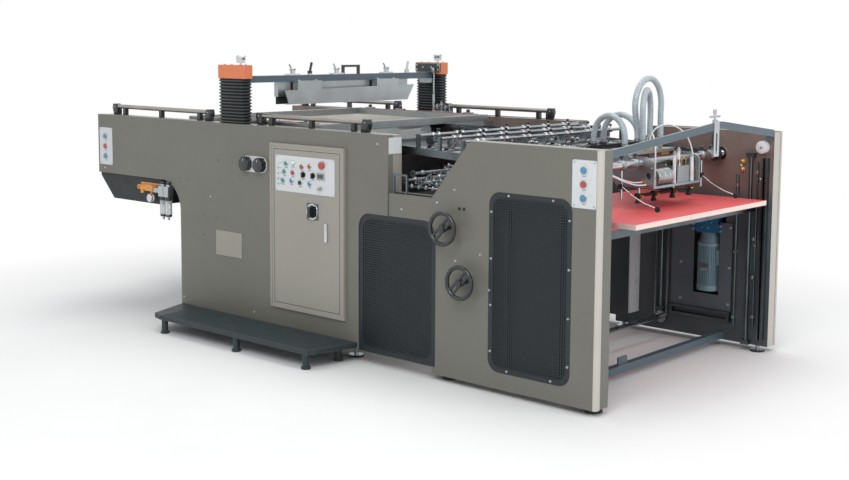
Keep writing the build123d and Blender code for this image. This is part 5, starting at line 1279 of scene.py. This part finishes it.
def make_plate_fittings():
    """Rings, blank legends, lamps and window of the control plate, and the main switch's surround."""
    maker = Maker("control_plate_fittings")
    buttons = ((92, 158), (78, 112), (66, 62), (222, 148), (148, 110), (208, 58))
    lamps = (
        (148, 164, "white_plastic"),
        (284, 154, "red_plastic"),
        (136, 64, "blue_plastic"),
        (284, 58, "blue_plastic"),
    )
    for step, rise in buttons:
        centre = place(PLATE_START - step, PLATE_FACE - 6, PLATE_BOTTOM + rise)
        maker.collar(centre, OUT, 1.6, 16.4, 12.8, "chrome")
    for step, rise, finish in lamps:
        centre = place(PLATE_START - step, PLATE_FACE - 6, PLATE_BOTTOM + rise)
        maker.collar(centre + Vector((0, mm(6), 0)), OUT, 7, 15, 12.2, "chrome")
        maker.turned(centre, OUT, ((0, 12), (3, 11.6), (6, 8.5), (7.5, 4)), finish)
    for step, rise in [*buttons, *[lamp[:2] for lamp in lamps], (232, 104), (310, 104)]:
        legend = place(PLATE_START - step, PLATE_FACE - 0.6, PLATE_BOTTOM + rise - 23)
        maker.block(
            legend - Vector((mm(11), 0, mm(2.5))),
            legend + Vector((mm(11), mm(0.6), mm(2.5))),
            "grey_plastic",
            0.2,
        )
    for row, finish in enumerate(
        ("blue_plastic", "green_plastic", "grey_plastic", "grey_plastic", "white_plastic")
    ):
        rise = PLATE_BOTTOM + 40 + 30 * row
        maker.turned(
            place(PLATE_START - 26, PLATE_FACE - 4, rise), OUT, ((0, 4.4), (2, 4.2), (4, 2.5)), finish, 14
        )
        maker.block(
            place(PLATE_START - 37, PLATE_FACE - 0.6, rise - 1.5),
            place(PLATE_START - 55, PLATE_FACE, rise + 1.5),
            "grey_plastic",
            0.2,
        )
    window = place(PLATE_START - 372, PLATE_FACE - 4, PLATE_BOTTOM + 104)
    maker.block(
        window - Vector((mm(30), mm(1), mm(20))), window + Vector((mm(30), mm(4), mm(20))), "grey_plastic", 1
    )
    maker.block(
        window - Vector((mm(22), mm(1.6), mm(11))), window + Vector((mm(22), 0, mm(11))), "display", 0.3
    )
    for step in (8, 470):
        for rise in (8, 195):
            screw = place(PLATE_START - step, PLATE_FACE, PLATE_BOTTOM + rise)
            maker.turned(screw, OUT, ((0, 4.5), (1.5, 4), (2, 2)), "zinc", 14)
    turns = [math.pi * step / 16 for step in range(32)]
    hole = [(35.5 * math.cos(turn), 35.5 * math.sin(turn)) for turn in turns]
    rim = [(46 * x / max(abs(x), abs(z)), 46 * z / max(abs(x), abs(z))) for x, z in hole]
    rows = []
    for outline, depth in ((hole, -15), (rim, -15), (rim, -18), (hole, -18)):
        rows.append([place(SWITCH[0] + x, depth, SWITCH[1] + z) for x, z in outline])
    maker.rings(rows, "dark_steel", loop=True)
    maker.collar(place(SWITCH[0], PLATE_FACE, SWITCH[1]), OUT, 3, 45, 36.5, "chrome", 32)
    left, right, low, high = DOOR_SEAM
    for start, end in (
        ((left, low), (left - 3, high)),
        ((right + 3, low), (right, high)),
        ((left, low), (right, low + 3)),
        ((left, high - 3), (right, high)),
    ):
        maker.block(place(start[0], -15.8, start[1]), place(end[0], -15, end[1]), "rubber", 0.2)
    maker.made("cabinet_door")


def make_station_fittings():
    """Rings, blank legends and screws of the two button stations."""
    stations = Maker("station_fittings")
    for start, end, bottom, top, face in ((153, 19, 978, 1202, COVER_STEP - 3), (3932, 3792, 923, 1165, -3)):
        middle, height = (start + end) / 2, (bottom + top) / 2
        for step in (65, 0, -65):
            stations.collar(place(middle, face - 6, height + step), OUT, 1.8, 20.6, 17, "chrome")
            mark = place(middle, face - 0.6, height + step - 28)
            stations.block(
                mark - Vector((mm(10), 0, mm(2))),
                mark + Vector((mm(10), mm(0.6), mm(2))),
                "grey_plastic",
                0.2,
            )
        for x in (start - 11, end + 11):
            for z in (bottom + 11, top - 11):
                stations.turned(place(x, face, z), OUT, ((0, 5), (1.5, 4.5), (2.2, 2)), "zinc", 14)
    stations.made("machine")


COVER_MARKS = (
    (2712, 1026), (2583, 1023), (3096, 892), (3002, 894), (2706, 898),
    (2585, 898), (2861, 687), (2733, 681), (2859, 563),
)


def make_cover_plugs():
    """Plugs in the near covers, hinge caps and screws of the blank plate."""
    maker = Maker("cover_plugs")
    for x, height in COVER_MARKS:
        maker.turned(place(x, 0, height), OUT, ((0, 6), (0.8, 5.6), (1, 3)), "dark_steel", 14)
    for height in (307, 689, 1071):
        for step in (-41, 35):
            maker.turned(
                place(2240.3, -6.3, height + step), UP, ((0, 5.6), (1, 6.6), (5, 6.6), (6, 5.6)), "zinc", 14
            )
    for x in (2732, 2511):
        for height in (465, 598):
            maker.turned(place(x, -3, height), OUT, ((0, 4), (1.2, 3.6)), "zinc", 12)
    maker.made("machine")


def make_knob_caps():
    """Faces of the two air knobs, each with a white mark."""
    for x, name in ((2446, "air_knob_left"), (2322, "air_knob_right")):
        cap = Maker(name + "_cap")
        cap.turned(place(x, -37.2, 1025), OUT, ((0, 30), (2, 29), (3, 20), (3.2, 8)), "black_plastic", 30)
        cap.block(place(x - 2, -40.6, 1043), place(x + 2, -39, 1056), "white_plastic", 0.3)
        cap.made(name)


def make_air_unit():
    """Bowl cages, gauge face and ports of the compressed air unit."""
    maker = Maker("air_unit_fittings")
    for x in (3245, 3193):
        axis = place(x, AIR_UNIT + 2, 0)
        for profile in (
            ((742, 20.6), (743, 23), (765, 23), (766, 21)), ((640, 14), (643, 20.8), (652, 21), (654, 20.6))
        ):
            maker.turned(axis, UP, profile, "black_plastic", 24)
        for turn in (0.6, 2.2, 3.8, 5.4):
            side = axis + Vector((mm(21) * math.cos(turn), mm(21) * math.sin(turn), 0))
            maker.rod(side + Vector((0, 0, mm(648))), side + Vector((0, 0, mm(745))), 1.6, "zinc", 8)
        maker.turned(axis, UP, ((842, 12), (845, 15), (856, 15), (860, 11)), "black_plastic")
    face = place(GAUGE[0], AIR_UNIT - 16, GAUGE[1])
    maker.collar(face + Vector((0, mm(4), 0)), OUT, 8, 26.5, 22.5, "chrome", 32)
    maker.turned(face, OUT, ((0, 22.5), (1.4, 22.5)), "white_plastic", 32)
    for step in range(9):
        turn = math.pi * (1.25 - step * 1.5 / 8)
        middle = face + Vector((mm(17) * math.cos(turn), mm(-1.6), mm(17) * math.sin(turn)))
        maker.block(
            middle - Vector((mm(0.9), 0, mm(0.9))),
            middle + Vector((mm(0.9), mm(0.3), mm(0.9))),
            "black_plastic",
            0,
        )
    maker.rod(
        face + Vector((mm(-3), mm(-2), mm(-3))),
        face + Vector((mm(10), mm(-2), mm(11))),
        0.8,
        "red_plastic",
        6,
    )
    maker.turned(place(3480, AIR_UNIT - 10, 808), OUT, ((0, 9), (5, 9), (6, 6), (12, 6)), "brass", 8)
    maker.turned(place(3310, AIR_UNIT - 8, 798), OUT, ((0, 8), (3, 8), (4, 5)), "zinc", 8)
    maker.made("machine")


# Stage, camera and light


def make_camera():
    """Camera at the photograph's viewing angle."""
    turn, dip, roll = 0.728, 0.109, 0.006
    data = bpy.data.cameras.new("camera")
    data.lens = 54.096
    data.sensor_width = 36.0
    data.shift_y = -0.0707
    camera = bpy.data.objects.new("camera", data)
    bpy.context.scene.collection.objects.link(camera)
    ahead = Vector((-math.sin(turn) * math.cos(dip), math.cos(turn) * math.cos(dip), -math.sin(dip)))
    right = Vector((math.cos(turn), math.sin(turn), 0.0))
    up = right.cross(ahead)
    facing = Matrix((right, up, -ahead)).transposed() @ Matrix.Rotation(roll, 3, "Z")
    camera.matrix_world = Matrix.Translation((5.2187, -5.5931, 1.7439)) @ facing.to_4x4()
    bpy.context.scene.camera = camera


def make_light(name, position, target, size, power):
    """One soft studio lamp."""
    data = bpy.data.lights.new(name, "AREA")
    data.shape = "RECTANGLE"
    data.size, data.size_y = size
    data.energy = power
    lamp = bpy.data.objects.new(name, data)
    bpy.context.scene.collection.objects.link(lamp)
    lamp.location = position
    lamp.rotation_euler = (Vector(target) - Vector(position)).to_track_quat("-Z", "Y").to_euler()


def seen_rays(tree):
    """One for what the camera sees directly, mirrored or through glass, nought for light on the object."""
    rays = add_node(tree, "ShaderNodeLightPath")
    links = {0: rays.outputs["Is Camera Ray"], 1: rays.outputs["Is Transmission Ray"]}
    through = add_node(tree, "ShaderNodeMath", operation="MAXIMUM", links=links)
    links = {0: through.outputs[0], 1: rays.outputs["Is Glossy Ray"]}
    return add_node(tree, "ShaderNodeMath", operation="MAXIMUM", links=links).outputs[0]


def make_stage(sizes):
    """Pale floor, white surroundings and soft lamps."""
    world = bpy.data.worlds.new("studio")
    bpy.context.scene.world = world
    world.use_nodes = True
    tree = world.node_tree
    tree.nodes.clear()
    fill = add_node(tree, "ShaderNodeBackground", values={"Color": tone("#F4F6F8"), "Strength": sizes.fill})
    white = add_node(tree, "ShaderNodeBackground", values={"Color": (1, 1, 1, 1), "Strength": 1.0})
    links = {0: seen_rays(tree), 1: fill.outputs[0], 2: white.outputs[0]}
    shown = add_node(tree, "ShaderNodeMixShader", links=links)
    add_node(tree, "ShaderNodeOutputWorld", links={"Surface": shown.outputs[0]})

    material, tree, shader = new_material("painted_studio_floor_white")
    tree.links.new(patches(tree, 900.0, tone("#FBFBFB"), tone("#F7F7F7")), shader.inputs["Base Color"])
    shader.inputs["Roughness"].default_value = 0.9
    shader.inputs["Specular IOR Level"].default_value = 0.1
    # Away from the machine the floor is seen as white as the surroundings, like a studio cove
    where = add_node(tree, "ShaderNodeTexCoord")
    reach = add_node(tree, "ShaderNodeVectorMath", operation="LENGTH", links={0: where.outputs["Object"]})
    away = add_node(
        tree,
        "ShaderNodeMapRange",
        links={"Value": reach.outputs["Value"]},
        values={"From Min": 2.2, "From Max": 3.8},
    )
    links = {0: away.outputs["Result"], 1: seen_rays(tree)}
    share = add_node(tree, "ShaderNodeMath", operation="MULTIPLY", links=links)
    glow = add_node(tree, "ShaderNodeEmission", values={"Color": (1, 1, 1, 1), "Strength": 1.0})
    output = next(node for node in tree.nodes if node.type == "OUTPUT_MATERIAL")
    links = {0: share.outputs[0], 1: shader.outputs["BSDF"], 2: glow.outputs["Emission"]}
    add_node(tree, "ShaderNodeMixShader", links=links, into={0: output.inputs["Surface"]})
    half = 30.0
    data = bpy.data.meshes.new("floor")
    data.from_pydata(
        [(-half, -half, 0), (half, -half, 0), (half, half, 0), (-half, half, 0)], [], [(0, 1, 2, 3)]
    )
    data.materials.append(material)
    floor = bpy.data.objects.new("floor", data)
    bpy.context.scene.collection.objects.link(floor)

    power = sizes.lamp_power
    make_light("key_lamp", (3.5, -6.5, 6.5), (0, -0.6, 0.6), (4.5, 4.5), power * 0.62)
    make_light("end_lamp", (7.5, 0.5, 4.0), (1.5, 0, 0.8), (3.5, 3.5), power * 0.26)
    make_light("top_lamp", (-1.0, 1.0, 7.5), (0, 0, 0.8), (6.0, 4.0), power * 0.42)
    bpy.context.scene.view_settings.view_transform = "Standard"


# Add-on: settings, one operator for each group of pieces, and their panel


def length(name, description, default):
    """Setting of a length in metres."""
    return FloatProperty(name=name, description=description, default=default, unit="LENGTH")


def paint(name, description, code):
    """Setting of a paint's colour from its sRGB hex code."""
    return FloatVectorProperty(name=name, description=description, default=linear(code), subtype="COLOR")


class PressSizes(bpy.types.PropertyGroup):
    """Sizes and light that a user would change."""

    hose_diameter: length("Hose diameter", "Outside diameter of the large hoses", 0.035)
    tube_diameter: length("Tube diameter", "Outside diameter of the thin tubes", 0.008)
    coil_pitch: length("Coil pitch", "Distance between turns of the hose coil", 0.009)
    pleats: IntProperty(name="Pleats", description="Folds of each bellows", default=14, min=4)
    grille_pitch: length("Grille pitch", "Distance between the holes of a grille", 0.013)
    grille_hole: length("Grille hole", "Width of each hole of a grille", 0.0095)
    lamp_power: FloatProperty(
        name="Lamp power", description="Power of the studio lamps", default=480.0, unit="POWER"
    )
    fill: FloatProperty(name="Fill", description="Strength of the light from all round", default=0.5, min=0.0)


class PressColours(bpy.types.PropertyGroup):
    """Paint colours that a user would change."""

    cover: paint("Covers", "Paint of the sheet covers", "#74736B")
    door: paint("Door", "Paint of the cabinet door", "#A09D94")
    grille: paint("Grilles", "Coating of the grilles", "#1C2428")
    beam: paint("Beam", "Paint of the beam and the bars", "#566873")
    cap: paint("Lift caps", "Paint of the lift heads", "#E8855A")
    board: paint("Pile board", "Enamel of the pile board", "#EC6466")
    motor: paint("Motor", "Paint of the motor", "#7F9EA8")
    gearbox: paint("Gearbox", "Paint of the gearbox", "#2F6A92")
    hose: paint("Hoses", "Colour of the hose wall", "#B9CBD3")


class PRESS_OT_camera(bpy.types.Operator):
    """Set the camera at the photograph's viewing angle"""

    bl_idname = "press.camera"
    bl_label = "Camera"

    def execute(self, context):
        make_camera()
        return {"FINISHED"}


class PRESS_OT_finishes(bpy.types.Operator):
    """Make the finishes and give them to the CAD parts"""

    bl_idname = "press.finishes"
    bl_label = "Finishes"

    def execute(self, context):
        make_finishes(context.scene.press_colours)
        dress_nodes()
        return {"FINISHED"}


class PRESS_OT_hoses(bpy.types.Operator):
    """Make the feeder's hoses and air tubes"""

    bl_idname = "press.hoses"
    bl_label = "Hoses"

    def execute(self, context):
        make_hoses(context.scene.press_sizes)
        return {"FINISHED"}


class PRESS_OT_bellows(bpy.types.Operator):
    """Make the bellows of the lift posts"""

    bl_idname = "press.bellows"
    bl_label = "Bellows"

    def execute(self, context):
        make_bellows(context.scene.press_sizes)
        return {"FINISHED"}


class PRESS_OT_screen(bpy.types.Operator):
    """Make the screen cloth and the clamps of its frame"""

    bl_idname = "press.screen"
    bl_label = "Screen"

    def execute(self, context):
        make_cloth()
        make_clamps()
        return {"FINISHED"}


class PRESS_OT_grilles(bpy.types.Operator):
    """Make the perforated grilles"""

    bl_idname = "press.grilles"
    bl_label = "Grilles"

    def execute(self, context):
        make_grilles(context.scene.press_sizes)
        return {"FINISHED"}


class PRESS_OT_lift(bpy.types.Operator):
    """Make the fittings of the lift posts, the beam and the handrails"""

    bl_idname = "press.lift"
    bl_label = "Lift and rails"

    def execute(self, context):
        make_lift_fittings()
        make_post_fittings()
        make_rail_ends()
        return {"FINISHED"}


class PRESS_OT_tables(bpy.types.Operator):
    """Make the fittings of the feed table and the delivery"""

    bl_idname = "press.tables"
    bl_label = "Tables"

    def execute(self, context):
        make_feed_table_fittings()
        make_sheet_guides()
        make_delivery_fittings()
        make_notch_edges()
        return {"FINISHED"}


class PRESS_OT_feeder(bpy.types.Operator):
    """Make the fittings of the feeder head, the far wall and the drive"""

    bl_idname = "press.feeder"
    bl_label = "Feeder and drive"

    def execute(self, context):
        make_head_fittings()
        make_sheet_holders()
        make_sucker_fittings()
        make_chain_links()
        make_wall_fittings()
        make_motor_fittings()
        return {"FINISHED"}


class PRESS_OT_controls(bpy.types.Operator):
    """Make the fittings of the controls, the covers and the air unit"""

    bl_idname = "press.controls"
    bl_label = "Controls and covers"

    def execute(self, context):
        make_plate_fittings()
        make_station_fittings()
        make_cover_plugs()
        make_knob_caps()
        make_air_unit()
        return {"FINISHED"}


class PRESS_OT_stage(bpy.types.Operator):
    """Make the floor, the white surroundings and the lamps"""

    bl_idname = "press.stage"
    bl_label = "Stage"

    def execute(self, context):
        make_stage(context.scene.press_sizes)
        return {"FINISHED"}


OPERATORS = (
    PRESS_OT_camera,
    PRESS_OT_finishes,
    PRESS_OT_hoses,
    PRESS_OT_bellows,
    PRESS_OT_screen,
    PRESS_OT_grilles,
    PRESS_OT_lift,
    PRESS_OT_tables,
    PRESS_OT_feeder,
    PRESS_OT_controls,
    PRESS_OT_stage,
)


class PRESS_PT_panel(bpy.types.Panel):
    """Sizes, colours and steps of the machine"""

    bl_label = "Screen printing machine"
    bl_idname = "PRESS_PT_panel"
    bl_space_type = "VIEW_3D"
    bl_region_type = "UI"
    bl_category = "Press"

    def draw(self, context):
        for group in (context.scene.press_sizes, context.scene.press_colours):
            for name in group.__annotations__:
                self.layout.prop(group, name)
        for operator in OPERATORS:
            self.layout.operator(operator.bl_idname)


CLASSES = (PressSizes, PressColours, *OPERATORS, PRESS_PT_panel)


def register():
    """Register the settings, the operators and the panel."""
    for item in CLASSES:
        bpy.utils.register_class(item)
    bpy.types.Scene.press_sizes = PointerProperty(type=PressSizes)
    bpy.types.Scene.press_colours = PointerProperty(type=PressColours)


def unregister():
    """Take everything out again."""
    del bpy.types.Scene.press_colours
    del bpy.types.Scene.press_sizes
    for item in reversed(CLASSES):
        bpy.utils.unregister_class(item)


def main():
    """Build everything."""
    register()
    bpy.ops.press.camera()
    bpy.ops.press.finishes()
    bpy.ops.press.hoses()
    bpy.ops.press.bellows()
    bpy.ops.press.screen()
    bpy.ops.press.grilles()
    bpy.ops.press.lift()
    bpy.ops.press.tables()
    bpy.ops.press.feeder()
    bpy.ops.press.controls()
    bpy.ops.press.stage()


if __name__ == "__main__":
    main()
